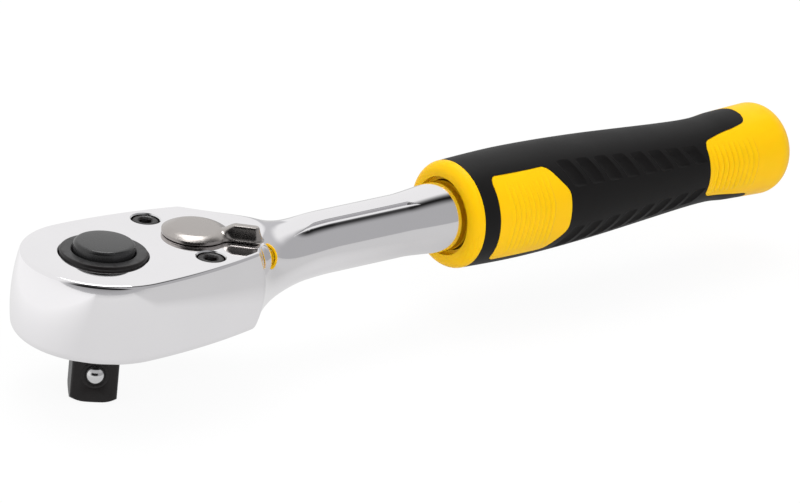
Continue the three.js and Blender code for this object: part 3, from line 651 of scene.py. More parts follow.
def graded(
    tree: Tree, value: Socket, ends: Span, become: tuple = (0.0, 1.0), run: str = "LINEAR"
) -> Socket:
    """Maps a range of values to another.

    Args:
        tree: The tree.
        value: The value.
        ends: Both ends of its range.
        become: What the ends become.
        run: How it runs between them.

    Returns:
        The result.
    """
    labels = "From Min", "From Max", "To Min", "To Max"
    values = {"Value": value, **dict(zip(labels, (*ends, *become)))}
    return add_node(tree, "ShaderNodeMapRange", values, interpolation_type=run).outputs["Result"]


def tree_socket(tree: Tree, name: str) -> str:
    """Identifier of a node tree's input."""
    items = tree.interface.items_tree
    return next(item.identifier for item in items if item.name == name and item.in_out == "INPUT")


class Repeat:
    """Node trees that repeat a pattern piece along a row or round a ring."""

    ROW_INPUTS = {
        "Piece": "NodeSocketObject",
        "Count": "NodeSocketInt",
        "Start": "NodeSocketVector",
        "Pitch": "NodeSocketVector",
        "First Size": "NodeSocketVector",
        "Last Size": "NodeSocketVector",
        "Finish": "NodeSocketMaterial",
    }
    RING_INPUTS = {
        "Piece": "NodeSocketObject",
        "Count": "NodeSocketInt",
        "Radius": "NodeSocketFloat",
        "Finish": "NodeSocketMaterial",
    }

    def __init__(self) -> None:
        """Builds both trees."""
        self.row_tree = self._row()
        self.ring_tree = self._ring()

    def _start(self, name: str, inputs: dict[str, str]) -> tuple:
        """Starts a tree.

        Args:
            name: Name of the tree.
            inputs: Names and socket types of its inputs.

        Returns:
            The tree, its given values and its placing node.
        """
        tree = bpy.data.node_groups.new(name, "GeometryNodeTree")
        add_socket = tree.interface.new_socket
        add_socket("Geometry", in_out="INPUT", socket_type="NodeSocketGeometry")
        for label, kind in inputs.items():
            add_socket(label, in_out="INPUT", socket_type=kind)
        add_socket("Geometry", in_out="OUTPUT", socket_type="NodeSocketGeometry")
        given = add_node(tree, "NodeGroupInput").outputs
        pattern = add_node(tree, "GeometryNodeObjectInfo", {"Object": given["Piece"]})
        placed = add_node(
            tree, "GeometryNodeInstanceOnPoints", {"Instance": pattern.outputs["Geometry"]}
        )
        real = add_node(
            tree, "GeometryNodeRealizeInstances", {"Geometry": placed.outputs["Instances"]}
        )
        dressed = add_node(tree, "GeometryNodeSetMaterial", {
            "Geometry": real.outputs["Geometry"], "Material": given["Finish"],
        })
        add_node(tree, "NodeGroupOutput", {"Geometry": dressed.outputs["Geometry"]})
        return tree, given, placed

    def _row(self) -> Tree:
        """Builds the tree for a straight row whose pieces change size evenly.

        Returns:
            The tree.
        """
        tree, given, placed = self._start("repeat_in_row", self.ROW_INPUTS)
        line = add_node(tree, "GeometryNodeMeshLine", {
            "Count": given["Count"], "Start Location": given["Start"], "Offset": given["Pitch"],
        })
        index = add_node(tree, "GeometryNodeInputIndex").outputs["Index"]
        share = maths(tree, "DIVIDE", index, maths(tree, "SUBTRACT", given["Count"], 1))
        sizes = {0: share, 4: given["First Size"], 5: given["Last Size"]}
        size = add_node(tree, "ShaderNodeMix", sizes, data_type="VECTOR")
        feed(placed, {"Points": line.outputs["Mesh"], "Scale": size.outputs[1]})
        return tree

    def _ring(self) -> Tree:
        """Builds the tree for a ring about the drive axis.

        Returns:
            The tree.
        """
        tree, given, placed = self._start("repeat_in_ring", self.RING_INPUTS)
        circle = add_node(tree, "GeometryNodeMeshCircle", {
            "Vertices": given["Count"], "Radius": given["Radius"],
        })
        index = add_node(tree, "GeometryNodeInputIndex").outputs["Index"]
        step = maths(tree, "DIVIDE", 2 * math.pi, given["Count"])
        spin = add_node(tree, "ShaderNodeCombineXYZ", {"Z": maths(tree, "MULTIPLY", index, step)})
        turn = add_node(tree, "FunctionNodeEulerToRotation", {"Euler": spin.outputs[0]})
        feed(placed, {"Points": circle.outputs["Mesh"], "Rotation": turn.outputs["Rotation"]})
        return tree

    def make(self, name: str, tree: Tree, values: dict[str, object]) -> Piece:
        """Runs a tree once.

        Args:
            name: Name of the new object.
            tree: One of the two trees.
            values: Values of the tree's inputs, by name.

        Returns:
            A plain mesh object with all repeats. The pattern piece is used up.
        """
        holder = add_object(name, bpy.data.meshes.new(name))
        modifier = holder.modifiers.new("repeat", "NODES")
        modifier.node_group = tree
        for label, value in values.items():
            modifier[tree_socket(tree, label)] = value
        evaluated(holder)
        drop(values["Piece"])
        return holder


# Finishes


class Grain(Enum):
    """How the fine pattern of a finish runs."""

    EVEN = (1.0, 1.0, 1.0)
    ALONG_HANDLE = (0.06, 1.0, 1.0)


@dataclass(frozen=True)
class Finish:
    """A surface finish: its colour, how it varies, its gloss and its fine relief."""

    name: str
    slot: str
    colour: Colour
    roughness: tuple[float, float]
    metallic: float = 0.0
    tone: float = 0.06
    patch_mm: float = 9.0
    grain_mm: float = 0.35
    relief_mm: float = 0.004
    grain: Grain = Grain.EVEN
    specular: float = 0.5
    subsurface_mm: float = 0.0
    subsurface_share: float = 0.12
    worn: Colour | None = None

    def material(self) -> bpy.types.Material:
        """The node material of this finish, made once."""
        known = bpy.data.materials.get(self.name)
        return known or self._make()

    def _make(self) -> bpy.types.Material:
        """Builds the node material.

        Returns:
            The new material.
        """
        material = bpy.data.materials.new(self.name)
        material.use_nodes = True
        material.diffuse_color = (*self.colour, 1.0)
        tree = material.node_tree
        place = add_node(tree, "ShaderNodeTexCoord").outputs["Object"]
        patches = self._noise(tree, place, self.patch_mm, Grain.EVEN)
        grains = self._noise(tree, place, self.grain_mm, self.grain)
        shade = add_node(tree, "ShaderNodeValToRGB", {"Fac": patches})
        dark = tuple(part * (1 - self.tone) for part in self.colour)
        stops = zip(shade.color_ramp.elements, NOISE_SPAN, (dark, self.colour))
        for stop, position, colour in stops:
            stop.position, stop.color = position, (*colour, 1)
        both = maths(tree, "MULTIPLY_ADD", grains, 0.5, maths(tree, "MULTIPLY", patches, 0.5))
        bump = add_node(tree, "ShaderNodeBump", {
            "Strength": 1.0, "Distance": self.relief_mm * MM, "Height": grains,
        })
        feed(tree.nodes["Principled BSDF"], {
            "Base Color": self._wear(tree, shade.outputs["Color"]),
            "Roughness": graded(tree, both, NOISE_SPAN, self.roughness),
            "Normal": bump.outputs["Normal"],
            "Metallic": self.metallic,
            "Specular IOR Level": self.specular,
            "Subsurface Weight": self.subsurface_share if self.subsurface_mm else 0.0,
            "Subsurface Scale": max(self.subsurface_mm, 0.1) * MM,
        })
        return material

    def _noise(self, tree: Tree, place: Socket, size: float, grain: Grain) -> Socket:
        """Adds a noise pattern on object coordinates.

        Args:
            tree: The material's tree.
            place: The object coordinates.
            size: Size of the pattern in millimetres.
            grain: How the pattern is stretched.

        Returns:
            The pattern's value.
        """
        mapping = add_node(tree, "ShaderNodeMapping", {"Vector": place, "Scale": grain.value})
        noise = add_node(tree, "ShaderNodeTexNoise", {
            "Vector": mapping.outputs["Vector"],
            "Scale": 1 / (size * MM),
            "Detail": NOISE_DETAIL,
        })
        return noise.outputs["Fac"]

    def _wear(self, tree: Tree, colour: Socket) -> Socket:
        """Lets the worn colour through on proud edges.

        Args:
            tree: The material's tree.
            colour: The colour without wear.

        Returns:
            The colour with wear, or the same one where the finish doesn't wear.
        """
        if self.worn is None:
            return colour
        form = add_node(tree, "ShaderNodeNewGeometry").outputs["Pointiness"]
        edge = graded(tree, form, WORN_SPAN, (0.0, WORN_SHARE))
        mixed = {0: edge, 6: colour, 7: (*self.worn, 1)}
        return add_node(tree, "ShaderNodeMix", mixed, data_type="RGBA").outputs[2]


CHROME = Finish(
    "polished_chrome", "chrome", (0.91, 0.897, 0.912), (0.025, 0.075), metallic=1.0,
    tone=0.02, patch_mm=14, grain_mm=2.5, relief_mm=0.0016,
)
COVER_CHROME = Finish(
    "ground_chrome", "chrome", (0.80, 0.80, 0.81), (0.12, 0.24), metallic=1.0,
    tone=0.04, grain_mm=0.25, relief_mm=0.0015, grain=Grain.ALONG_HANDLE,
)
SATIN_NICKEL = Finish(
    "satin_nickel_plate", "satin_nickel", (0.47, 0.44, 0.42), (0.2, 0.3), metallic=1.0,
    tone=0.05, patch_mm=5, grain_mm=0.22, relief_mm=0.0035,
)
BLACK_OXIDE = Finish(
    "black_oxide_steel", "black_oxide", (0.0085, 0.0066, 0.0066), (0.30, 0.46),
    tone=0.25, patch_mm=4, grain_mm=0.3, relief_mm=0.004, specular=0.35, worn=(0.03, 0.03, 0.031),
)
BLACK_PLASTIC = Finish(
    "matte_black_moulding", "black_plastic", (0.010, 0.010, 0.0105), (0.22, 0.3),
    tone=0.2, patch_mm=5, grain_mm=0.18, relief_mm=0.003, specular=0.65,
)
BRIGHT_STEEL = Finish(
    "ground_bright_steel", "bright_steel", (0.74, 0.74, 0.745), (0.08, 0.18), metallic=1.0,
    tone=0.05, patch_mm=3, grain_mm=0.2, relief_mm=0.001,
)
SPRING_STEEL = Finish(
    "oiled_spring_steel", "spring_steel", (0.22, 0.22, 0.225), (0.24, 0.4), metallic=1.0,
    tone=0.15, patch_mm=3, grain_mm=0.25, relief_mm=0.002,
)
SEAL_RUBBER = Finish(
    "seal_ring_rubber", "seal_rubber", (0.010, 0.010, 0.010), (0.55, 0.7),
    tone=0.2, patch_mm=2, grain_mm=0.2, relief_mm=0.003,
)
YELLOW_PLASTIC = Finish(
    "yellow_moulding", "yellow_plastic", (0.92, 0.53, 0.003), (0.30, 0.42),
    tone=0.035, patch_mm=12, grain_mm=0.3, relief_mm=0.004, subsurface_mm=1.2, specular=0.1,
)
BLACK_RUBBER = Finish(
    "soft_black_rubber", "black_rubber", (0.0058, 0.0053, 0.0053), (0.46, 0.6),
    tone=0.18, patch_mm=8, grain_mm=0.16, relief_mm=0.010, specular=0.2,
)


def coat(piece: Piece, finish: Finish) -> None:
    """Gives a piece a finish in place of what it had."""
    piece.data.materials.clear()
    piece.data.materials.append(finish.material())


def dress(
    piece: Piece,
    finish: Finish,
    body: Body,
    *nodes: str,
    angle: float = 32.0,
    coated: bool = False,
    surface: Distance | None = None,
) -> Piece:
    """Finishes a piece and says what it rides on and stands for.

    Args:
        piece: The piece, with its final mesh.
        finish: Its finish.
        body: The body that it moves with.
        *nodes: CAD nodes that it stands for.
        angle: Smoothing angle in degrees.
        coated: Whether its faces have their finishes already.
        surface: Distance field of its outside, whose normals it takes.

    Returns:
        The same piece.
    """
    if not coated:
        coat(piece, finish)
    smooth(piece, angle)
    if surface:
        true_normals(piece, surface)
    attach(piece, body.value)
    if nodes:
        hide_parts(*nodes)
    log.info("%s: %d faces, %s", piece.name, len(piece.data.polygons), finish.name)
    return piece


# The forged body


@dataclass
class ForgedBody:
    """Head, neck and ribbed shank: one chromed forging with its pocket and bores."""

    nose_x: float = 0.45
    flank_radius: float = 125.0
    barrel_radius: float = 41.6
    barrel_below_top: float = 10.0
    top_edge: float = 0.65
    bottom_edge: float = 2.0
    crease: float = 0.35
    neck_behind_lever: float = 28.0
    neck_fillet: float = 30.0
    shank_radius: float = 6.6
    shank_end_radius: float = 7.45
    shank_flare: float = 13.0
    flat_height: float = 5.75
    head_before_shank: float = 3.7
    neck_sag: float = 0.85
    sag_before_shank: float = 9.0
    sag_length: float = 15.0
    flat_before_shank: float = 5.4
    flat_before_grip: float = 8.6
    flat_edge: float = 0.14
    rib_half_width: float = 2.4
    rib_tip_half: float = 4.3
    rib_blend: float = 6.5
    rib_end_blend: float = 3.4
    socket_depth: float = 5.5
    tang_radius: float = 6.0
    tang_length: float = 72.0
    tang_edge: float = 1.0
    pocket_radius: float = 13.4
    pawl_pocket_radius: float = 17.1
    pawl_pocket_spread: float = 52.0
    pin_x: float = 16.8
    pin_radius: float = 1.35
    pin_depth: float = 2.0
    pawl_hub_radius: float = 3.6
    heel_half_width: float = 3.8
    lever_room: float = 4.4
    hub_bore: float = 9.05
    lever_bore: float = 2.75
    bore_edge: float = 0.25
    screw_bore: float = 2.95
    screw_seat_depth: float = 3.1
    screw_shaft_bore: float = 1.6
    cover_inset: float = 3.5
    cover_shoulder: float = 22.7
    cover_back: float = 28.7
    cover_fit: float = 0.1
    tool_over: float = 3.0
    tool_stagger: float = 0.1
    roof_stagger: float = 0.01
    half_points: int = 96
    nose_steps: int = 84
    head_step: float = 0.4
    bar_step: float = 0.55
    flat_step: float = 0.14
    flat_margins: tuple[float, ...] = (0.2, 1.2, 0.3)
    fine_before_shank: float = 4.0
    tang_rings: int = 6
    bend_weight: float = 0.8
    ray_reach: float = 2.5
    ray_halvings: int = 34
    ray_density: int = 5
    neck_ring: float = 0.9
    seat_overlap: float = 0.5
    radius: float = field(init=False)
    shank_start: float = field(init=False)
    flats: Span = field(init=False)
    tang: Span = field(init=False)

    def __post_init__(self) -> None:
        """Works out the sizes that follow from the frame."""
        low, _ = node_box("ratchet_body")
        self.radius = self.nose_x - low[0]
        self.shank_start = LAYOUT.lever_x + self.neck_behind_lever
        self.flats = (
            self.shank_start - self.flat_before_shank, LAYOUT.grip_start - self.flat_before_grip
        )
        tang_start = LAYOUT.grip_start + self.socket_depth
        self.tang = tang_start, tang_start + self.tang_length

    def distance(self, points: np.ndarray) -> np.ndarray:
        """Distance from the outside of the forging, negative within it.

        Args:
            points: Points in millimetres.

        Returns:
            One distance for each point.
        """
        x, y, z = points.T
        share = (x - self.shank_start + self.sag_before_shank) / self.sag_length
        up = z - LAYOUT.handle_z + self.neck_sag * (1 - eased(share))
        body = round_max(self._head(x, y, z), self._bar(x, np.hypot(y, up)), self.crease)
        flats = np.minimum(np.abs(up) - self.flat_height, np.abs(y) - self._rib(x))
        return round_max(body, flats, self.flat_edge)

    def _head(self, x: np.ndarray, y: np.ndarray, z: np.ndarray) -> np.ndarray:
        """Distance field of the pear-shaped head.

        Args:
            x: Places along the handle.
            y: Places across it.
            z: Heights.

        Returns:
            One distance for each point.
        """
        offset = x - self.nose_x
        nose = np.hypot(offset, y) - self.radius
        flank = np.hypot(offset, np.abs(y) + self.flank_radius - self.radius) - self.flank_radius
        barrel = (z - LAYOUT.head_top + self.barrel_below_top) ** 2 / (2 * self.barrel_radius)
        side = np.where(offset < 0, nose, flank) + barrel
        head = round_max(side, z - LAYOUT.head_top, self.top_edge)
        head = round_max(head, LAYOUT.head_bottom - z, self.bottom_edge)
        return np.where(x < self.shank_start - self.head_before_shank, head, -FAR)

    def _bar(self, x: np.ndarray, radius: np.ndarray) -> np.ndarray:
        """Distance field of the trumpet neck, shank and tang, turned about the handle's axis.

        Args:
            x: Places along the handle.
            radius: Distances from its axis.

        Returns:
            One distance for each point.
        """
        neck = self.neck_fillet - np.hypot(
            x - self.shank_start, radius - self.shank_radius - self.neck_fillet
        )
        tang, end = self.tang
        step = self.shank_end_radius - self.tang_radius
        places = [
            self.shank_start, LAYOUT.grip_start - self.shank_flare, LAYOUT.grip_start,
            tang - step, tang, end - self.tang_edge, end,
        ]
        radii = [
            self.shank_radius, self.shank_radius, self.shank_end_radius, self.shank_end_radius,
            self.tang_radius, self.tang_radius, self.tang_radius - self.tang_edge,
        ]
        flare = np.clip((x - places[1]) / self.shank_flare, 0, 1)
        swell = (self.shank_end_radius - self.shank_radius) * (eased(flare) - flare)
        return np.where(x < self.shank_start, neck, radius - np.interp(x, places, radii) - swell)

    def _rib(self, x: np.ndarray) -> np.ndarray:
        """Half width of the rib between the two flats, or far off where there are no flats.

        Args:
            x: Places along the handle.

        Returns:
            One half width for each place.
        """
        start, end = self.flats
        places = [start, start + self.rib_blend, end - self.rib_end_blend, end]
        widths = [self.rib_tip_half, self.rib_half_width, self.rib_half_width, self.rib_tip_half]
        return np.where((x < start) | (x > end), FAR, np.interp(x, places, widths))

    def _cast(self, origins: np.ndarray, headings: np.ndarray) -> np.ndarray:
        """Finds the skin along rays that start inside the forging.

        Args:
            origins: Start points of the rays.
            headings: Unit directions of the rays.

        Returns:
            The points on the skin.
        """
        low = np.zeros(len(origins))
        high = np.full(len(origins), self.ray_reach * self.radius)
        for _ in range(self.ray_halvings):
            middle = (low + high) / 2
            inside = self.distance(origins + headings * middle[:, None]) < 0
            low, high = np.where(inside, middle, low), np.where(inside, high, middle)
        return origins + headings * low[:, None]

    def _sections(self, x: np.ndarray, bearings: np.ndarray) -> np.ndarray:
        """Half sections from the top of the forging down to its bottom.

        Args:
            x: Place of each section along the handle.
            bearings: Bearing of each half section in plan, from +X, in radians.

        Returns:
            Points of each section, gathered where it bends.
        """
        count = len(x)

        def skin(angles: np.ndarray) -> np.ndarray:
            """Points on the skin at angles from straight up.

            Args:
                angles: The angles, row by row.

            Returns:
                The points, row by row.
            """
            origins = np.zeros((count, angles.shape[1], 3))
            origins[..., 0] = x[:, None]
            origins[..., 2] = LAYOUT.handle_z
            flat = np.sin(angles)
            ahead, across = np.cos(bearings)[:, None], np.sin(bearings)[:, None]
            headings = np.stack([flat * ahead, flat * across, np.cos(angles)], axis=-1)
            found = self._cast(origins.reshape(-1, 3), headings.reshape(-1, 3))
            return found.reshape(count, -1, 3)

        rays = self.ray_density * self.half_points + 1
        even = np.tile(np.linspace(0, math.pi, rays), (count, 1))
        steps = np.diff(skin(even), axis=1)
        lengths = np.linalg.norm(steps, axis=2)
        units = steps / np.maximum(lengths[..., None], ON_AXIS)
        bends = np.arccos(np.clip(np.sum(units[:, 1:] * units[:, :-1], axis=2), -1, 1))
        bends = np.pad(bends, ((0, 0), (0, 1))) + np.pad(bends, ((0, 0), (1, 0)))
        weight = lengths / lengths.sum(1, keepdims=True)
        weight += self.bend_weight * bends / bends.sum(1, keepdims=True)
        travel = np.pad(np.cumsum(weight, axis=1), ((0, 0), (1, 0)))
        wanted = np.linspace(0, 1, self.half_points + 1)
        gathered = [
            np.interp(wanted * total[-1], total, angles) for total, angles in zip(travel, even)
        ]
        return skin(np.array(gathered))

    def skin(self) -> Piece:
        """Builds the closed outer skin of the forging.

        Returns:
            The solid forging, without its pocket and bores.
        """
        head_end = self.shank_start - self.fine_before_shank
        before, inside, beyond = self.flat_margins
        tang_start, tang_end = self.tang
        flats_start, flats_end = self.flats
        stations = np.unique(np.concatenate([
            np.arange(self.nose_x, head_end, self.head_step),
            np.arange(head_end, LAYOUT.grip_start, self.bar_step),
            flats_start + np.arange(-before, inside, self.flat_step),
            flats_end + np.arange(-self.rib_end_blend - before, beyond, self.flat_step),
            [LAYOUT.grip_start, tang_start - self.neck_ring],
            np.linspace(tang_start, tang_end - self.tang_edge, self.tang_rings),
            [tang_end],
        ]))
        right = np.full(len(stations), math.pi / 2)
        halves = self._sections(stations, right)
        bearings = np.linspace(math.pi / 2, 1.5 * math.pi, self.nose_steps + 1)
        nose = self._sections(np.full(len(bearings), self.nose_x), bearings)
        mirrored = halves[:, -2:0:-1] * np.array([1, -1, 1])
        rings = np.concatenate([halves, mirrored], axis=1)
        count = rings.shape[1]
        half = self.half_points
        points = [rings.reshape(-1, 3)]
        last = (len(stations) - 1) * count
        columns = [list(range(half + 1))]
        start = len(points[0])
        for curve in nose[1:-1]:
            points.append(curve[1:-1])
            columns.append([0, *range(start, start + half - 1), half])
            start += half - 1
        columns.append([0, *range(count - 1, half, -1), half])
        faces = ring_faces(len(stations), count)
        faces += [list(range(last, last + count)), *strip_faces(columns)]
        return new_piece("forged_body", np.concatenate(points), faces)

    def _cover_plan(self) -> np.ndarray:
        """Plan of the recess for the cover plate.

        Returns:
            Points of x and y.
        """
        flank = self.flank_radius - self.cover_inset
        flank_y = self.radius - self.flank_radius
        start = math.degrees(math.acos((self.cover_shoulder - self.nose_x) / flank))
        upper = circle_points(self.nose_x, flank_y, flank, start, 90, 12)
        nose = circle_points(self.nose_x, 0, self.radius - self.cover_inset, 90, 270, 64)
        lower = circle_points(self.nose_x, -flank_y, flank, 270, 360 - start, 12)
        room = self.lever_room + self.cover_fit
        back = np.array([[self.cover_back, -room], [self.cover_back, room]])
        return np.concatenate([upper, nose[1:], lower[1:], back])

    def _tools(self) -> list[Piece]:
        """Cutting tools for the pocket, the recess and the bores, in the order of use.

        Returns:
            The tools.
        """
        roof, top, edge = LAYOUT.roof_under, LAYOUT.head_top, self.bore_edge
        floors = LAYOUT.head_bottom - self.tool_over + self.tool_stagger * np.arange(6)
        roofs = roof - self.roof_stagger * np.arange(5)
        spread, lever_x, half = self.pawl_pocket_spread, LAYOUT.lever_x, self.heel_half_width
        arc = circle_points(0, 0, self.pawl_pocket_radius, -spread, spread, 48)
        sector = np.concatenate([[[0.0, 0.0]], arc])
        pin_x = self.pin_x
        heel = np.array([[pin_x, -half], [lever_x, -half], [lever_x, half], [pin_x, half]])

        def rod(
            radius: float, bottom: float, end: float, x: float = 0, y: float = 0, flare: float = 0
        ) -> Piece:
            """A round tool, which may flare as it leaves the metal.

            Args:
                radius: Its radius.
                bottom: Height of its lower end.
                end: Height of its upper end, or of the metal where it flares.
                x: Place of its axis along the handle.
                y: Place of its axis across it.
                flare: Width of the eased edge that it cuts.

            Returns:
                The closed tool.
            """
            profile = [(0, bottom), (radius, bottom), (radius, end - flare)]
            if flare:
                profile.append((radius + flare + OVER, end + OVER))
            profile.append((0, profile[-1][1]))
            return turned("tool", profile, lambda p: upright(p, x, y))

        tools = [
            prism("tool", self._cover_plan(), floors[0], LAYOUT.cover_top + self.cover_fit),
            rod(self.pocket_radius, floors[1], roofs[0]),
            prism("tool", sector, floors[2], roofs[1]),
            rod(self.pawl_hub_radius, floors[3], roofs[2], pin_x),
            prism("tool", heel, floors[4], roofs[3]),
            rod(self.lever_room, floors[5], roofs[4], lever_x),
            rod(self.hub_bore, roof - OVER, top, flare=edge),
            rod(self.lever_bore, roof - OVER, top, lever_x, flare=edge),
            rod(self.pin_radius, roof - OVER, roof + self.pin_depth, pin_x),
        ]
        for node in COVER_SCREWS:
            near, far = node_box(node)
            x, y, _ = (near + far) / 2
            seat = top - self.screw_seat_depth
            tools.append(rod(self.screw_bore, seat, top, x, y, flare=edge))
            bottom, end = LAYOUT.head_bottom - OVER, seat + self.seat_overlap
            tools.append(rod(self.screw_shaft_bore, bottom, end, x, y))
        return tools

    def build(self) -> Piece:
        """Builds and dresses the forging.

        Returns:
            The finished piece.
        """
        body = self.skin()
        coat(body, CHROME)
        for tool in self._tools():
            coat(tool, COVER_CHROME)
            shape(body, tool)
        node = "ratchet_body"
        return dress(body, CHROME, Body.HANDLE, node, coated=True, surface=self.distance)


# Drive, button and ball


@dataclass
class Drive:
    """The black drive forging with its teeth, square, button and ball."""

    square_width: float = 9.53
    square_length: float = 11.7
    square_corner: float = 0.75
    square_lead_in: float = 1.9
    square_end_ease: float = 0.15
    journal_radius: float = 7.2
    journal_ease: float = 0.2
    hub_radius: float = 8.9
    hub_edge: float = 0.35
    hub_lip: float = 0.25
    tooth_count: int = 72
    tooth_root: float = 12.2
    tooth_tip: float = 13.0
    tooth_tip_share: float = 0.16
    tooth_root_share: float = 0.99
    tooth_sink: float = 0.3
    tooth_side_ease: float = 0.02
    ball_face: float = -123.6
    ball_radius: float = 2.08
    ball_proud: float = 1.48
    ball_room: float = 0.15
    ball_neck: float = 0.5
    ball_catch: float = 0.02
    stake_radius: float = 2.9
    stake_width: float = 0.3
    stake_depth: float = 0.07
    stake_over: float = 0.02
    stake_ridge: float = 0.4
    ball_hole_edge: float = 0.35
    ball_hole_over: float = 0.05
    button_radius: float = 6.25
    button_edge: float = 0.75
    button_edge_points: int = 10
    button_rings: tuple[float, ...] = (0.75, 0.5, 0.25, 0.0)
    button_fit: float = 0.2
    button_crown: float = 0.12
    button_rise: float = 2.05
    button_length: float = 7.85
    button_flange: float = 1.0
    button_groove: float = 5.65
    groove_over_ring: float = 3.1
    button_socket: float = 2.2
    button_socket_depth: float = 4.1
    plunger_bore: float = 2.2
    plunger_floor: float = 0.65
    spring_bore: float = 4.15
    spring_depth: float = 4.5
    travel: float = 3.3

    def _square(self) -> Piece:
        """The square with rounded corners, eased on a lathe at its end.

        Returns:
            The closed solid.
        """
        half = self.square_width / 2
        turn = math.radians(self.ball_face)
        spin = np.array([[math.cos(turn), math.sin(turn)], [-math.sin(turn), math.cos(turn)]])
        corners = [(half, -half), (half, half), (-half, half), (-half, -half)]
        plan = rounded([(x, y, self.square_corner) for x, y in corners]) @ spin
        top, wide = self.square_length + OVER, half * math.sqrt(2)
        foot = half - self.square_end_ease
        ease = [
            (foot + (wide - foot) * math.sin(a), self.square_lead_in * (1 - math.cos(a)))
            for a in np.linspace(0.25, math.pi / 2, 10)
        ]
        profile = [(0, 0), (foot, 0), *ease, (wide, top + OVER), (0, top + OVER)]
        tool = turned("tool", profile, segments=FINE)
        return shape(prism("drive_forging", plan, -OVER, top), tool, Cut.KEEP_INSIDE)

    def _at_ball(self, points: np.ndarray) -> np.ndarray:
        """Lays turned points, which stand about +Z, along the ball's way out of the square.

        Args:
            points: The turned points.

        Returns:
            The points in their place.
        """
        low, high = node_box("detent_ball")
        outward = Matrix.Rotation(math.radians(self.ball_face), 3, "Z")
        turn = np.array(outward @ Matrix.Rotation(math.pi / 2, 3, "Y"))
        return points @ turn.T + np.array([0, 0, (low[2] + high[2]) / 2])

    def _ball_tool(self) -> Piece:
        """The ball's hole with its eased edge.

        Returns:
            The cutting tool.
        """
        radius, face = self.ball_radius, self.square_width / 2
        edge, over = self.ball_hole_edge, self.ball_hole_over
        return turned("tool", [
            (0, 0), (radius + self.ball_room, 0), (radius + self.ball_room, face - self.ball_neck),
            (radius - self.ball_catch, face - edge / 2), (radius + edge, face + over),
            (radius + edge, face + OVER), (0, face + OVER),
        ], self._at_ball, COARSE)

    def _stake_tool(self) -> Piece:
        """The faint ring that the staking punch leaves round the ball.

        Returns:
            The cutting tool.
        """
        face, middle, half = self.square_width / 2, self.stake_radius, self.stake_width / 2
        return turned("tool", [
            (middle - half, face + self.stake_over), (middle, face - self.stake_depth),
            (middle + half, face + self.stake_over), (middle, face + self.stake_ridge),
        ], self._at_ball, ROUND, ring=True)

    def forging(self) -> Piece:
        """Builds the drive forging.

        Returns:
            The finished piece.
        """
        top, start, journal = LAYOUT.hub_top, self.square_length, self.journal_radius
        ease = self.journal_ease
        seal_low, seal_high = node_box("hub_seal_ring")
        seal_floor = seal_high[0] - (seal_high[2] - seal_low[2]) - GROOVE_FIT
        core = turned("tool", [
            (0, start), (journal - ease, start), (journal, start + ease),
            (journal, LAYOUT.gear_bottom), (self.tooth_root, LAYOUT.gear_bottom),
            (self.tooth_root, LAYOUT.gear_top), (self.hub_radius, LAYOUT.gear_top),
            *groove(self.hub_radius, seal_floor, "hub_seal_ring"),
            *rim(self.hub_radius, top, self.hub_edge, points=6), (0, top),
        ])
        piece = shape(self._square(), core, Cut.JOIN)
        bore = self.button_radius + self.button_fit
        floor = top - self.button_length - self.travel + self.button_rise
        spring_floor = floor - self.spring_depth
        ring_seat = GROOVE_FIT - node_box("button_snap_ring")[0][0]
        shape(piece, turned("tool", [
            (0, self.plunger_floor), (self.plunger_bore, self.plunger_floor),
            (self.plunger_bore, spring_floor), (self.spring_bore, spring_floor),
            (self.spring_bore, floor), (bore, floor),
            *groove(bore, ring_seat, "button_snap_ring"),
            (bore, top - self.hub_lip), (bore + self.hub_lip + OVER, top + OVER),
            (0, top + OVER),
        ]))
        shape(piece, self._ball_tool())
        shape(piece, self._stake_tool())
        return dress(piece, BLACK_OXIDE, Body.DRIVE, "drive_gear")

    def teeth(self, repeat: Repeat) -> Piece:
        """Builds the ring of ratchet teeth.

        Args:
            repeat: The repeating trees.

        Returns:
            The finished piece.
        """
        pitch = 2 * math.pi / self.tooth_count
        middle, root = pitch / 2, self.tooth_root
        tip_half, root_half = pitch * self.tooth_tip_share / 2, pitch * self.tooth_root_share / 2
        sides = [(root - self.tooth_sink, root_half), (root, root_half), (self.tooth_tip, tip_half)]
        corners = [(radius, middle - half) for radius, half in sides]
        corners += [(radius, middle + half) for radius, half in reversed(sides)]
        plan = np.array([(r * math.cos(a) - root, r * math.sin(a)) for r, a in corners])
        ease = self.tooth_side_ease
        tooth = prism("tooth", plan, LAYOUT.gear_bottom + ease, LAYOUT.gear_top - ease)
        ring = repeat.make("drive_teeth", repeat.ring_tree, {
            "Piece": tooth,
            "Count": self.tooth_count,
            "Radius": self.tooth_root * MM,
            "Finish": BLACK_OXIDE.material(),
        })
        return dress(ring, BLACK_OXIDE, Body.DRIVE, angle=15)

    def button(self) -> Piece:
        """Builds the quick-release button.

        Returns:
            The finished piece.
        """
        top, radius, edge = LAYOUT.button_top, self.button_radius, self.button_edge
        bottom = node_box("release_button")[0][2]
        flange, socket_top = bottom + self.button_flange, bottom + self.button_socket_depth
        groove_top = node_box("button_snap_ring")[1][2] + self.groove_over_ring
        crown, count = self.button_crown, self.button_edge_points
        turns = np.linspace(0, math.pi / 2, count)
        edges = rim(radius, top - crown, edge, count)
        side = [(r - crown * math.sin(a), z) for (r, z), a in zip(edges, turns)]
        piece = turned("quick_release_button", [
            (0, socket_top), (self.button_socket, socket_top),
            (self.button_socket, bottom), (radius, bottom), (radius, flange),
            (self.button_groove, flange), (self.button_groove, groove_top), (radius, groove_top),
            *side, *((r * (radius - edge), top - crown * r ** 2) for r in self.button_rings),
        ], segments=FINE)
        return dress(piece, BLACK_PLASTIC, Body.BUTTON, "release_button")

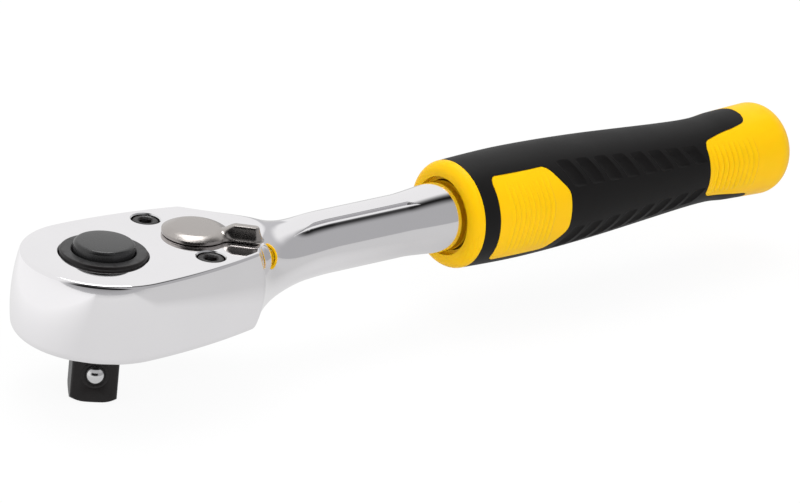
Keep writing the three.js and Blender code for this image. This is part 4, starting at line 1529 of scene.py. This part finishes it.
    def ball(self) -> Piece:
        """Builds the detent ball.

        Returns:
            The finished piece.
        """
        low, high = node_box("detent_ball")
        radius = self.ball_radius
        turn = math.radians(self.ball_face)
        out = self.square_width / 2 + self.ball_proud - radius
        middle = np.array([math.cos(turn) * out, math.sin(turn) * out, (low[2] + high[2]) / 2])
        arc = [(radius * math.sin(a), -radius * math.cos(a)) for a in np.linspace(0, math.pi, 33)]
        arc[0], arc[-1] = (0, -radius), (0, radius)
        piece = turned("steel_detent_ball", arc, lambda p: p + middle, ROUND)
        return dress(piece, BRIGHT_STEEL, Body.BALL, "detent_ball", angle=60)

    def build(self, repeat: Repeat) -> list[Piece]:
        """Builds all pieces of the drive."""
        return [self.forging(), self.teeth(repeat), self.button(), self.ball()]


# Cover screws


@dataclass
class CoverScrews:
    """The two black socket screws in the top of the head."""

    head_radius: float = 2.75
    head_height: float = 2.6
    shaft_radius: float = 1.5
    shaft_ease: float = 0.3
    edge: float = 0.45
    socket: float = 2.5
    socket_depth: float = 1.4
    socket_edge: float = 0.18

    def screw(self, node: str) -> Piece:
        """Builds one screw.

        Args:
            node: The CAD node that it stands for.

        Returns:
            The finished piece.
        """
        low, high = node_box(node)
        x, y, _ = (low + high) / 2
        bottom, top = low[2], high[2]
        under = top - self.head_height
        shaft, ease = self.shaft_radius, self.shaft_ease

        def place(points: np.ndarray) -> np.ndarray:
            """Stands turned points on the screw's axis."""
            return upright(points, x, y)

        piece = turned(node.replace("cover_screw", "socket_screw"), [
            (0, bottom), (shaft - ease, bottom), (shaft, bottom + ease),
            (shaft, under), (self.head_radius, under),
            *rim(self.head_radius, top, self.edge, points=7), (0, top),
        ], place, ROUND)
        across = self.socket / math.sqrt(3)
        hexagon = circle_points(x, y, across, 0, 360, 6)[:-1]
        shape(piece, prism("tool", hexagon, top - self.socket_depth, top + OVER))
        low_edge = top - 2 * self.socket_edge
        shape(piece, turned("tool", [
            (0, low_edge), (across - self.socket_edge, low_edge),
            (across + self.socket_edge + OVER, top + OVER), (0, top + OVER),
        ], place, COARSE))
        return dress(piece, BLACK_OXIDE, Body.HANDLE, node)

    def build(self) -> list[Piece]:
        """Builds both screws."""
        return [self.screw(node) for node in COVER_SCREWS]


# Reversing lever


@dataclass
class ReversingLever:
    """The satin lever: a bevelled disc that runs into a raised thumb fin, and the shaft below."""

    disc_radius: float = 6.85
    foot: tuple[float, float] = (0.3, 0.3)
    rim_height: float = 0.8
    bevel: float = 2.0
    flat_height: float = 1.65
    crown: float = 0.08
    reach: float = 14.1
    fin_half: float = 2.1
    fin_fillet: float = 2.2
    fin_lean: float = 1.15
    fin_rim: float = 0.45
    fin_height: float = 3.1
    fin_round: float = 0.25
    fin_wall: float = 0.86
    lean_power: float = 0.55
    climb_power: float = 1.5
    root_share: float = 0.6
    rise: tuple[float, float] = (4.4, 8.2)
    shaft_radius: float = 2.6
    cross_bore: float = 1.25
    cross_bore_wall: float = 0.7
    clip_depth: float = 0.5
    rest_angle: float = -45.0
    cap_steps: int = 10
    side_points: int = 12
    hollow_steps: int = 18
    disc_steps: int = 60
    foot_rings: int = 6
    bevel_rings: int = 15

    def _place(self, points: np.ndarray) -> np.ndarray:
        """Turns points that are drawn with the arm along +X to where the lever rests."""
        turn = np.array(Matrix.Rotation(math.radians(self.rest_angle), 3, "Z"))
        return points @ turn.T + np.array([LAYOUT.lever_x, 0, 0])

    def _outline(self) -> tuple[np.ndarray, np.ndarray]:
        """Plan of the disc and fin.

        Returns:
            Points of the outline, and for each one the place on the middle line that it faces.
        """
        fillet, half = self.fin_fillet, self.fin_half
        across = half + fillet
        along = math.sqrt((self.disc_radius + fillet) ** 2 - across ** 2)
        bearing = math.degrees(math.atan2(across, along))
        tip = self.reach - half
        cap = circle_points(tip, 0, half, 0, 90, self.cap_steps)
        side = np.linspace((tip, half), (along, half), self.side_points)[1:-1]
        hollow = circle_points(along, across, fillet, 270, 180 + bearing, self.hollow_steps)
        disc = circle_points(0, 0, self.disc_radius, bearing, 180, self.disc_steps)[1:]
        upper = np.concatenate([cap, side, hollow, disc])
        root = self.disc_radius * math.cos(math.radians(bearing)) * self.root_share
        faced = np.concatenate([
            np.full(len(cap), tip), side[:, 0], np.linspace(along, root, len(hollow)),
            root * np.linspace(1, 0, len(disc)) ** 2,
        ])
        lower = upper[-2:0:-1] * np.array([1, -1])
        return np.concatenate([upper, lower]), np.concatenate([faced, faced[-2:0:-1]])

    def _cap(self, base: float) -> Piece:
        """The part of the lever that lies on the head.

        Args:
            base: Height of the lever's underside.

        Returns:
            The closed solid.
        """
        outline, faced = self._outline()
        spine = np.stack([faced, np.zeros(len(faced))], axis=1)
        spokes = outline - spine
        lengths = np.linalg.norm(spokes, axis=1)
        ease = eased((faced - self.rise[0]) / (self.rise[1] - self.rise[0]))
        levels: list[np.ndarray] = []

        def ring(inset: np.ndarray, height: np.ndarray) -> None:
            """Adds a ring at an inset from the outline and a height over the underside."""
            plan = spine + spokes * np.maximum(1 - inset / lengths, 0)[:, None]
            levels.append(np.column_stack([plan, base + height]))

        def blend(disc: float, fin: float) -> np.ndarray:
            """A value for each point, from the disc's to the fin's."""
            return disc * (1 - ease) + fin * ease

        whole = blend(1, 1)
        for angle in np.linspace(0, math.pi / 2, self.foot_rings):
            inset, height = self.foot
            ring(whole * inset * (1 - math.sin(angle)), whole * height * (1 - math.cos(angle)))
        ring(blend(0, 0), blend((self.foot[1] + self.rim_height) / 2, self.fin_rim))
        fin_side = self.fin_height - self.fin_round - self.fin_rim
        for share in np.linspace(0, 1, self.bevel_rings):
            climb = 1 - (1 - share) ** self.climb_power
            wall = min(share / self.fin_wall, 1)
            edge = max(share - self.fin_wall, 0) / (1 - self.fin_wall)
            disc_height = self.rim_height + (self.flat_height - self.rim_height) * climb
            fin_height = self.fin_rim + fin_side * wall
            fin_height += self.fin_round * math.sin(edge * math.pi / 2)
            fin_inset = self.fin_lean * wall ** self.lean_power + self.fin_round * edge
            ring(blend(self.bevel * share, fin_inset), blend(disc_height, fin_height))
        rings = np.stack(levels)
        rings = self._place(rings.reshape(-1, 3)).reshape(rings.shape)
        return self._crowned(rings, self.crown * (1 - ease))

    @staticmethod
    def _crowned(rings: np.ndarray, crown: np.ndarray, across: int = 14) -> Piece:
        """Skins rings and closes the last one with cross rows over the middle line.

        Args:
            rings: Rings that start at the tip and mirror about the middle line.
            crown: How far each cross row rises in its middle.
            across: Number of steps in a cross row.

        Returns:
            The closed solid.
        """
        levels, count, _ = rings.shape
        points = list(rings.reshape(-1, 3))
        edge = (levels - 1) * count
        rows = [[edge] * (across + 1)]
        for i in range(1, count // 2):
            left, right = points[edge + i], points[edge + count - i]
            row = [edge + i]
            for share in np.linspace(0, 1, across + 1)[1:-1]:
                row.append(len(points))
                lift = np.array([0, 0, crown[i] * 4 * share * (1 - share)])
                points.append(left * (1 - share) + right * share + lift)
            rows.append([*row, edge + count - i])
        rows.append([edge + count // 2] * (across + 1))
        faces = [*ring_faces(levels, count), list(range(count)), *strip_faces(rows)]
        return new_piece("satin_lever", np.array(points), faces)

    def build(self) -> Piece:
        """Builds the lever.

        Returns:
            The finished piece.
        """
        low, high = node_box("reversing_lever")
        seal_low, seal_high = node_box("lever_seal_ring")
        base, radius = high[2] - self.fin_height, self.shaft_radius
        seal_floor = seal_high[1] - (seal_high[2] - seal_low[2]) - GROOVE_FIT
        shaft = turned("tool", [
            (0, low[2]), (radius, low[2]),
            *groove(radius, radius - self.clip_depth, "lever_clip"),
            *groove(radius, seal_floor, "lever_seal_ring"),
            (radius, base + self.rim_height), (0, base + self.rim_height),
        ], self._place, ROUND)
        piece = shape(self._cap(base), shaft, Cut.JOIN)
        middle = np.array([0, 0, (LAYOUT.cover_top + LAYOUT.roof_under) / 2])
        lying = np.array(Matrix.Rotation(math.pi / 2, 3, "Y"))
        bore, start, end = self.cross_bore, -radius - OVER, radius - self.cross_bore_wall
        shape(piece, turned("tool", [
            (0, start), (bore, start), (bore, end), (0, end),
        ], lambda p: self._place(p @ lying.T + middle), ROUGH))
        return dress(piece, SATIN_NICKEL, Body.LEVER, "reversing_lever", angle=40)


# Grip


@dataclass
class Grip:
    """The two-material grip: a hard yellow core under a soft black sleeve."""

    lip_radius: float = 8.7
    lip_round: float = 2.4
    collar_radius: float = 11.5
    knots: tuple = (
        (2.4, 11.5), (18.0, 11.88), (38.0, 11.22), (68.0, 9.3), (78.0, 9.675), (88.0, 10.05),
    )
    recess_radius: float = 8.4
    recess_depth: float = 1.5
    shank_bore: float = 7.6
    tang_bore: float = 6.15
    socket_depth: float = 5.65
    tang_length: float = 72.0
    sleeve_wall: float = 2.0
    sleeve_start: float = 2.5
    sleeve_end: float = 81.7
    window_start: float = 6.4
    window_length: float = 19.8
    window_top: float = 9.9
    window_bottom: float = 8.3
    window_nose: float = 4.4
    nose_low: float = 0.45
    nose_high: float = 0.5
    window_corner: float = 1.5
    tab_start: float = 67.7
    tab_top: float = 7.1
    tab_bottom: float = 4.9
    tab_spread: float = 0.135
    tab_corner: float = 1.6
    tongue_ease: tuple = ((1.6, 0.0), (0.9, 0.1), (0.4, 0.3), (0.1, 0.6), (-0.2, 0.9))
    seam: float = 0.12
    from_middle: float = 2.0
    slot_count: int = 8
    slot_start: float = 27.5
    slot_pitch: float = 5.15
    slot_width: float = 3.8
    slot_slant: float = 2.9
    slot_depths: tuple = (0.5, 1.0)
    slot_eases: tuple = (0.13, 0.3)
    slot_fullness: float = 0.7
    slot_lip: float = 0.02
    slot_over: float = 1.5
    slot_angles: tuple = ((27.0, 60.0, 48.0), (-17.0, -50.0, -38.0))
    ripple_rows: tuple = ((10.0, 9, 1.35, 50.0, -38.0), (69.6, 9, 1.4, 43.0, -27.0))
    ripple_height: float = 0.28
    ripple_wave: float = 0.22
    ripple_waves: int = 7
    ripple_fade: float = 0.5
    ripple_sink: float = 0.02
    ripple_root: float = 0.3
    segments: int = 144
    lip_points: int = 14
    knot_points: int = 17
    end_points: int = 24
    slot_points: tuple[int, int] = (13, 21)
    ripple_points: tuple[int, int] = (9, 29)
    station_gap: float = 0.1
    opening_over: float = 4.0
    tab_over: float = 5.0
    room_over: float = 3.0
    table: tuple[np.ndarray, np.ndarray] = field(init=False)

    def __post_init__(self) -> None:
        """Tabulates the radius along the grip."""
        lip = np.linspace(0, math.pi / 2, self.lip_points)
        places = [self.lip_round * (1 - np.cos(lip))]
        radii = [self.lip_radius + (self.collar_radius - self.lip_radius) * np.sin(lip)]
        knots = np.array(self.knots)
        for i in range(len(knots) - 1):
            for share in np.linspace(0, 1, self.knot_points)[1:]:
                point = self._spline(knots, i, share)
                places.append(point[:1])
                radii.append(point[1:])
        end = np.linspace(0, math.pi / 2, self.end_points)[1:]
        length = LAYOUT.grip_end - LAYOUT.grip_start
        last, bulb = knots[-1]
        places.append(last + (length - last) * np.sin(end))
        radii.append(bulb * np.cos(end))
        self.table = np.concatenate(places) + LAYOUT.grip_start, np.concatenate(radii)

    @staticmethod
    def _spline(knots: np.ndarray, index: int, share: float) -> np.ndarray:
        """Point on the smooth curve from one knot to the next.

        Args:
            knots: All knots.
            index: Number of the knot before the point.
            share: Share of the way to the next knot.

        Returns:
            Place and radius there.
        """
        before, here = knots[max(index - 1, 0)], knots[index]
        after, beyond = knots[index + 1], knots[min(index + 2, len(knots) - 1)]
        slope, next_slope = (after - before) / 2, (beyond - here) / 2
        square, cube = share ** 2, share ** 3
        return (
            (2 * cube - 3 * square + 1) * here + (cube - 2 * square + share) * slope
            + (3 * square - 2 * cube) * after + (cube - square) * next_slope
        )

    def radius(self, x: np.ndarray | float) -> np.ndarray:
        """Radius of the grip at a place along the handle."""
        return np.interp(x, *self.table)

    def distance(self, points: np.ndarray) -> np.ndarray:
        """Distance field of the turned outside of the grip."""
        x, y, z = points.T
        return np.hypot(y, z - LAYOUT.handle_z) - self.radius(x)

    def _stations(self, start: float, end: float) -> np.ndarray:
        """Places along the handle between two distances from the front of the grip.

        Args:
            start: The first distance.
            end: The last distance.

        Returns:
            The places, with both ends.
        """
        places, gap = self.table[0], self.station_gap
        low, high = LAYOUT.grip_start + start, LAYOUT.grip_start + end
        between = places[(places > low + gap) & (places < high - gap)]
        return np.concatenate([[low], between, [high]])

    def _layer(self, depth: float, over: float, grow: float) -> Piece:
        """The layer that the sleeve fills.

        Args:
            depth: How far its floor lies under the surface.
            over: How far its top lies over the surface.
            grow: How far it reaches past the ends of the sleeve.

        Returns:
            The closed ring.
        """
        x = self._stations(self.sleeve_start - grow, self.sleeve_end + grow)
        floor = [(self.radius(place) - depth, place) for place in x]
        top = [(self.radius(place) + over, place) for place in x[::-1]]
        return turned("tool", floor + top, along_handle, self.segments, ring=True)

    def _window_view(self, grow: float) -> np.ndarray:
        """Side view of the front window, grown all round.

        Args:
            grow: How far it is grown.

        Returns:
            Points of x and height above the axis.
        """
        front = LAYOUT.grip_start + self.window_start - grow
        rear = LAYOUT.grip_start + self.window_start + self.window_length + grow
        top, bottom = self.window_top + grow, -self.window_bottom - grow
        corner, soft = self.window_corner, 2 * self.window_corner
        return rounded([
            (front, bottom, corner), (rear - self.window_nose, bottom, soft),
            (rear, self.nose_low * bottom, soft), (rear, self.nose_high * top, soft),
            (rear - self.window_nose, top, soft), (front, top, corner),
        ])

    def _tab_view(self, grow: float) -> np.ndarray:
        """Side view of the end cap's forward tab, grown all round.

        Args:
            grow: How far it is grown.

        Returns:
            Points of x and height above the axis.
        """
        front = LAYOUT.grip_start + self.tab_start - grow
        rear = LAYOUT.grip_start + self.sleeve_end + self.tab_over
        top, bottom = self.tab_top + grow, -self.tab_bottom - grow
        end = LAYOUT.grip_start + self.sleeve_end
        ease = [
            (end - step, self.tab_spread * (end - step - front) + flare)
            for step, flare in self.tongue_ease
        ]
        ease.append((rear, ease[-1][1]))
        return rounded([
            (front, bottom, self.tab_corner), *((x, bottom - spread, 0) for x, spread in ease),
            *((x, top + spread, 0) for x, spread in reversed(ease)), (front, top, self.tab_corner),
        ])

    def _openings(self, grow: float) -> list[Piece]:
        """Tools for the places where the core shows through the sleeve.

        Args:
            grow: How far the openings are grown.

        Returns:
            The tools, both sides of each opening.
        """
        reach = self.collar_radius + self.opening_over
        return [
            side_prism("tool", view, side, self.from_middle, reach)
            for view in (self._window_view(grow), self._tab_view(grow)) for side in Side
        ]

    def _scoop(self, inner: float, outer: float) -> Piece:
        """One finger slot laid flat: x along the handle, y up from it, z in degrees round it.

        Args:
            inner: Angle of its shallow end above the horizontal.
            outer: Angle of its deep end.

        Returns:
            The closed tool, which fades out at its edges.
        """
        points, ring_count = self.slot_points
        across = np.linspace(0, 1, points)
        shallow, deep = self.slot_depths
        near, far = self.slot_eases
        rings = []
        for share in np.linspace(0, 1, ring_count):
            ease = math.sin(math.pi / 2 * min(1.0, share / near, (1 - share) / far))
            depth = (shallow + (deep - shallow) * share) * ease
            floor = self.slot_lip - depth * np.sin(math.pi * across) ** self.slot_fullness
            x = self.slot_width * across - self.slot_slant * share
            section = [*zip(x, floor), (x[-1], self.slot_over), (x[0], self.slot_over)]
            rings.append([(along, up, inner + (outer - inner) * share) for along, up in section])
        return lofted("slot", np.array(rings))

    def _wrapped(self, row: Piece, side: Side) -> Piece:
        """Wraps a row that is laid flat round one side of the grip.

        Args:
            row: The flat row, which is used up.
            side: The side of the handle.

        Returns:
            The row in its place.
        """
        x, up, angle = read(row.data.vertices, "co").T / MM
        faces = corner_lists(row.data)
        drop(row)
        radius, angle = self.radius(x) + up, np.radians(angle)
        y, z = side.value * radius * np.cos(angle), LAYOUT.handle_z + radius * np.sin(angle)
        return new_piece("slot_row", np.stack([x, y, z], axis=1), faces)

    def _slots(self, repeat: Repeat) -> Piece:
        """The tool for the slanted finger slots, two mirrored rows on each side.

        Args:
            repeat: The repeating trees.

        Returns:
            One object with all slot shapes.
        """
        first = LAYOUT.grip_start + self.slot_start
        rows = []
        for inner, outer, last_outer in self.slot_angles:
            for side in Side:
                row = repeat.make("slot_row", repeat.row_tree, {
                    "Piece": self._scoop(inner, outer),
                    "Count": self.slot_count,
                    "Start": (first * MM, 0.0, 0.0),
                    "Pitch": (self.slot_pitch * MM, 0.0, 0.0),
                    "First Size": (1.0, 1.0, 1.0),
                    "Last Size": (1.0, 1.0, last_outer / outer),
                    "Finish": BLACK_RUBBER.material(),
                })
                rows.append(self._wrapped(row, side))
        return merged("slot_tool", rows)

    def sleeve(self, repeat: Repeat) -> Piece:
        """Builds the soft black sleeve.

        Args:
            repeat: The repeating trees.

        Returns:
            The finished piece.
        """
        piece = self._layer(self.sleeve_wall, 0.0, 0.0)
        piece.name = "soft_sleeve"
        for tool in [*self._openings(0.0), self._slots(repeat)]:
            shape(piece, tool)
        return dress(piece, BLACK_RUBBER, Body.HANDLE, "grip_overmould", surface=self.distance)

    def core(self) -> Piece:
        """Builds the hard yellow core.

        Returns:
            The finished piece.
        """
        start = LAYOUT.grip_start
        socket, recess = start + self.socket_depth, start + self.recess_depth
        tang_end = socket + self.tang_length
        places, radii = self.table
        outside = [(float(r), float(x)) for x, r in zip(places, radii)]
        outside[-1] = (0.0, LAYOUT.grip_end)
        piece = turned("hard_core", [
            (0, tang_end), (self.tang_bore, tang_end), (self.tang_bore, socket),
            (self.shank_bore, socket), (self.shank_bore, recess),
            (self.recess_radius, recess), (self.recess_radius, start), *outside,
        ], along_handle, self.segments)
        room = self._layer(self.sleeve_wall + self.seam, self.room_over, self.seam)
        for tool in self._openings(-self.seam):
            shape(room, tool)
        shape(piece, room)
        return dress(piece, YELLOW_PLASTIC, Body.HANDLE, "grip_core", surface=self.distance)

    def _ripple(self, x: float, pitch: float, top: float, bottom: float, side: Side) -> Piece:
        """One low ripple, drawn about the handle's axis at the origin.

        Args:
            x: Place of the row's first ripple along the handle.
            pitch: Distance between ripples, which is also the width of one.
            top: Angle of its upper end above the horizontal, in degrees.
            bottom: Angle of its lower end.
            side: The side of the handle.

        Returns:
            The closed bead.
        """
        radius = float(self.radius(x))
        points, ring_count = self.ripple_points
        across = np.linspace(-0.5, 0.5, points)
        rings = []
        for share in np.linspace(0, 1, ring_count):
            angle = math.radians(bottom + (top - bottom) * share)
            height = self.ripple_height * math.sin(math.pi * share) ** self.ripple_fade
            height -= self.ripple_sink
            crest = radius - self.ripple_sink + height * np.cos(math.pi * across) ** 2
            wave = self.ripple_wave * math.sin(self.ripple_waves * angle)
            section = [(pitch * a + wave, r) for a, r in zip(across, crest)]
            root = radius - self.ripple_root
            section += [(0.5 * pitch + wave, root), (wave - 0.5 * pitch, root)]
            out, up = side.value * math.cos(angle), math.sin(angle)
            rings.append([(along, r * out, r * up) for along, r in section])
        return lofted("ripple", np.array(rings))

    def ripples(self, repeat: Repeat) -> Piece:
        """Builds the faint ripples on the windows and on the end cap's tabs.

        Args:
            repeat: The repeating trees.

        Returns:
            The finished piece.
        """
        rows = []
        for at, count, pitch, top, bottom in self.ripple_rows:
            x = LAYOUT.grip_start + at
            growth = float(self.radius(x + (count - 1) * pitch) / self.radius(x))
            for side in Side:
                rows.append(repeat.make("ripple_row", repeat.row_tree, {
                    "Piece": self._ripple(x, pitch, top, bottom, side),
                    "Count": count,
                    "Start": (x * MM, 0.0, LAYOUT.handle_z * MM),
                    "Pitch": (pitch * MM, 0.0, 0.0),
                    "First Size": (1.0, 1.0, 1.0),
                    "Last Size": (1.0, growth, growth),
                    "Finish": YELLOW_PLASTIC.material(),
                }))
        return dress(merged("core_ripples", rows), YELLOW_PLASTIC, Body.HANDLE)

    def build(self, repeat: Repeat) -> list[Piece]:
        """Builds all pieces of the grip."""
        return [self.core(), self.sleeve(repeat), self.ripples(repeat)]


# Inner pieces that keep their CAD meshes


@dataclass(frozen=True)
class Mechanism:
    """The inner pieces, whose CAD meshes stay and get a finish, and the two springs."""

    finishes: tuple[tuple[str, Finish], ...] = (
        ("cover_plate", COVER_CHROME),
        ("hub_seal_ring", SEAL_RUBBER),
        ("lever_seal_ring", SEAL_RUBBER),
        ("button_snap_ring", SPRING_STEEL),
        ("lever_clip", SPRING_STEEL),
        ("pawl", SPRING_STEEL),
        ("release_plunger", BRIGHT_STEEL),
        ("pawl_pin", BRIGHT_STEEL),
        ("pawl_plunger", BRIGHT_STEEL),
    )
    springs: tuple[tuple[str, str, Body], ...] = (
        ("release_spring", "button_press", Body.DRIVE),
        ("pawl_spring", "plunger_press", Body.LEVER),
    )

    @staticmethod
    def _coil(node: str, joint_name: str, body: Body) -> Piece:
        """Copies a spring's solid to a coil that rides on a body.

        Args:
            node: The spring's CAD node.
            joint_name: The joint that presses it; it is looked up but not used.
            body: The body that its far end rests on.

        Returns:
            The finished piece.
        """
        source, joint = frame["nodes"][node], joint_named(joint_name)
        points = np.array([source.matrix_world @ vertex.co for vertex in source.data.vertices])
        piece = new_piece(f"{node}_coil", points / MM, corner_lists(source.data))
        rework(
            piece.data,
            lambda work: bmesh.ops.remove_doubles(work, verts=work.verts, dist=WELD),
        )
        dress(piece, SPRING_STEEL, body, node, angle=50)
        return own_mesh(piece)

    def dress(self) -> None:
        """Gives each inner piece its finish and copies each spring to a coil on its body."""
        for spring in self.springs:
            self._coil(*spring)
        for node, finish in self.finishes:
            coat(frame["nodes"][node], finish)
            log.info("%s: CAD mesh, %s", node, finish.name)


# Studio


@dataclass
class Studio:
    """Floor, surround, lamps and camera."""

    azimuth: float = -41.6
    elevation: float = 22.2
    roll: float = 6.0
    target_offset: tuple[float, float] = (-59.1, -0.4)
    distance_mm: float = 1196.0
    focal_pixels: float = 6000.0
    image_width: int = 800
    sensor: float = 36.0
    floor_size: float = 6.0
    floor_grey: float = 0.9
    floor_roughness: float = 0.9
    floor_white: float = 0.92
    floor_under: float = 0.2
    # Painted shade on the floor as reflections see it: over x less y, then over x, in metres, its
    # brightness falls from the first value to the second.
    painted_shade_left: tuple[Span, Span] = ((-0.12, -0.015), (0.97, 0.71))
    painted_shade_right: tuple[Span, Span] = ((0.07, 0.1), (1.0, 0.82))
    surround_strength: float = 0.9
    surround_blue: float = 1.02
    # Greys of the surround: low on the right, the near side, round the camera and overhead.
    # Each fills the directions where all of its spans hold.
    greys: tuple = (
        (0.62, (("X", 0.62, 0.66), ("Z", 0.36, 0.2))),
        (0.48, (("Y", 0.2, -0.15),)),
        (0.012, (("camera", 0.72, 0.88), ("Z", 0.0, 0.12))),
        (0.012, (("Y", 0.2, -0.15), ("Z", 0.64, 0.8), ("Y", -0.5, -0.15))),
    )
    # Name, place and side in metres, power in watts, and whether it shows in reflections.
    soft_lamps: tuple = (
        ("top_softbox", (0.16, 0.22, 0.72), 0.34, 1.1, True),
        ("top_fill", (0.1, 0.1, 0.8), 0.8, 3.1, False),
        ("near_fill", (-0.25, -0.65, 0.5), 0.7, 4.7, False),
    )

    def _back(self) -> np.ndarray:
        """Direction from the object to the camera."""
        a, e = math.radians(self.azimuth), math.radians(self.elevation)
        return np.array([math.sin(a) * math.cos(e), -math.cos(a) * math.cos(e), math.sin(e)])

    def camera(self) -> None:
        """Sets the camera where the photograph was taken from."""
        a, r = math.radians(self.azimuth), math.radians(self.roll)
        back = self._back()
        level = np.array([math.cos(a), math.sin(a), 0.0])
        above = np.cross(back, level)
        right = math.cos(r) * level + math.sin(r) * above
        up = -math.sin(r) * level + math.cos(r) * above
        across, lift = self.target_offset
        place = -across * right - lift * up + self.distance_mm * back
        place += np.array([0, 0, LAYOUT.head_top])
        data = bpy.data.cameras.new("photo_camera")
        data.sensor_width = self.sensor
        data.lens = self.focal_pixels / self.image_width * self.sensor
        camera = add_object("photo_camera", data)
        matrix = np.eye(4)
        matrix[:3] = np.column_stack([right, up, back, place * MM])
        camera.matrix_world = Matrix(matrix.tolist())
        bpy.context.scene.camera = camera

    def floor(self) -> None:
        """Lays the pale floor, which shows white and keeps the object's shadow; in reflections it
        carries painted shade that darkens it towards +X.
        """
        half = self.floor_size / 2 / MM
        corners = np.array([[-half, -half, 0], [half, -half, 0], [half, half, 0], [-half, half, 0]])
        floor = new_piece("floor", corners - np.array([0, 0, self.floor_under]), [[0, 1, 2, 3]])
        material = bpy.data.materials.new("pale_floor")
        material.use_nodes = True
        tree = material.node_tree
        shader = tree.nodes["Principled BSDF"]
        grey = self.floor_grey
        feed(shader, {
            "Base Color": (grey, grey, grey, 1),
            "Roughness": self.floor_roughness,
            "Specular IOR Level": 0.0,
        })
        path = add_node(tree, "ShaderNodeLightPath").outputs
        place = add_node(tree, "ShaderNodeTexCoord").outputs["Object"]
        part = add_node(tree, "ShaderNodeSeparateXYZ", {0: place}).outputs
        # Painted shade: the floor that the chrome reflects is dimmed by position, standing in for
        # light falling off across it.
        left = graded(tree, maths(tree, "SUBTRACT", part["X"], part["Y"]), *self.painted_shade_left)
        right = graded(tree, part["X"], *self.painted_shade_right)
        in_gloss = maths(tree, "MULTIPLY", left, right)
        level = graded(tree, path["Is Glossy Ray"], (0.0, 1.0), (1.0, in_gloss))
        white = add_node(tree, "ShaderNodeEmission", {"Strength": level})
        seen = maths(tree, "MAXIMUM", path["Is Camera Ray"], path["Is Glossy Ray"])
        seen = maths(tree, "MAXIMUM", seen, path["Is Transmission Ray"])
        mix = add_node(tree, "ShaderNodeMixShader", {
            "Fac": maths(tree, "MULTIPLY", seen, self.floor_white),
            1: shader.outputs["BSDF"],
            2: white.outputs["Emission"],
        })
        feed(tree.nodes["Material Output"], {"Surface": mix.outputs["Shader"]})
        floor.data.materials.append(material)

    def surround(self) -> None:
        """Sets a white surround with grey and dark fields for the chrome to show."""
        world = bpy.data.worlds.new("studio")
        bpy.context.scene.world = world
        world.use_nodes = True
        tree = world.node_tree
        heading = add_node(tree, "ShaderNodeTexCoord").outputs["Generated"]
        part = add_node(tree, "ShaderNodeSeparateXYZ", {0: heading}).outputs
        dot = {0: heading, 1: self._back()}
        facing = add_node(tree, "ShaderNodeVectorMath", dot, operation="DOT_PRODUCT")
        ways = {axis: part[axis] for axis in "XYZ"} | {"camera": facing.outputs["Value"]}
        colour: Socket | tuple = (1, 1, 1, 1)
        for grey, spans in self.greys:
            shares = [graded(tree, ways[way], ends, run="SMOOTHSTEP") for way, *ends in spans]
            share = shares[0]
            for other in shares[1:]:
                share = maths(tree, "MULTIPLY", share, other)
            tones = {0: share, 6: colour, 7: (grey, grey, grey * self.surround_blue, 1)}
            colour = add_node(tree, "ShaderNodeMix", tones, data_type="RGBA").outputs[2]
        feed(tree.nodes["Background"], {"Color": colour, "Strength": self.surround_strength})

    def lamps(self) -> None:
        """Hangs a soft lamp overhead that shows in the chrome and two broad ones that only fill."""
        for lamp in self.soft_lamps:
            self._lamp(*lamp)

    def _lamp(self, name: str, place: Point, size: float, power: float, in_gloss: bool) -> None:
        """Adds a square soft lamp that faces the middle of the object.

        Args:
            name: Name of the lamp.
            place: Its place in metres.
            size: Its side in metres.
            power: Its power in watts.
            in_gloss: Whether it shows in reflections.
        """
        data = bpy.data.lights.new(name, "AREA")
        data.size = size
        data.energy = power
        lamp = add_object(name, data)
        lamp.location = place
        target = Vector(((CAD_BOX[0][0] + CAD_BOX[1][0]) / 2, 0, LAYOUT.handle_z * MM))
        lamp.rotation_euler = (target - Vector(place)).to_track_quat("-Z", "Y").to_euler()
        lamp.visible_glossy = in_gloss

    def build(self) -> None:
        """Sets up the whole studio."""
        bpy.context.scene.view_settings.view_transform = "Standard"
        self.camera()
        self.floor()
        self.surround()
        self.lamps()


def main() -> None:
    """Builds the pieces, dresses them and sets up the studio."""
    logging.basicConfig(level=logging.INFO, format="%(name)s: %(message)s")
    repeat = Repeat()
    ForgedBody().build()
    Drive().build(repeat)
    CoverScrews().build()
    ReversingLever().build()
    Grip().build(repeat)
    Mechanism().dress()
    Studio().build()


if __name__ == "__main__":
    main()
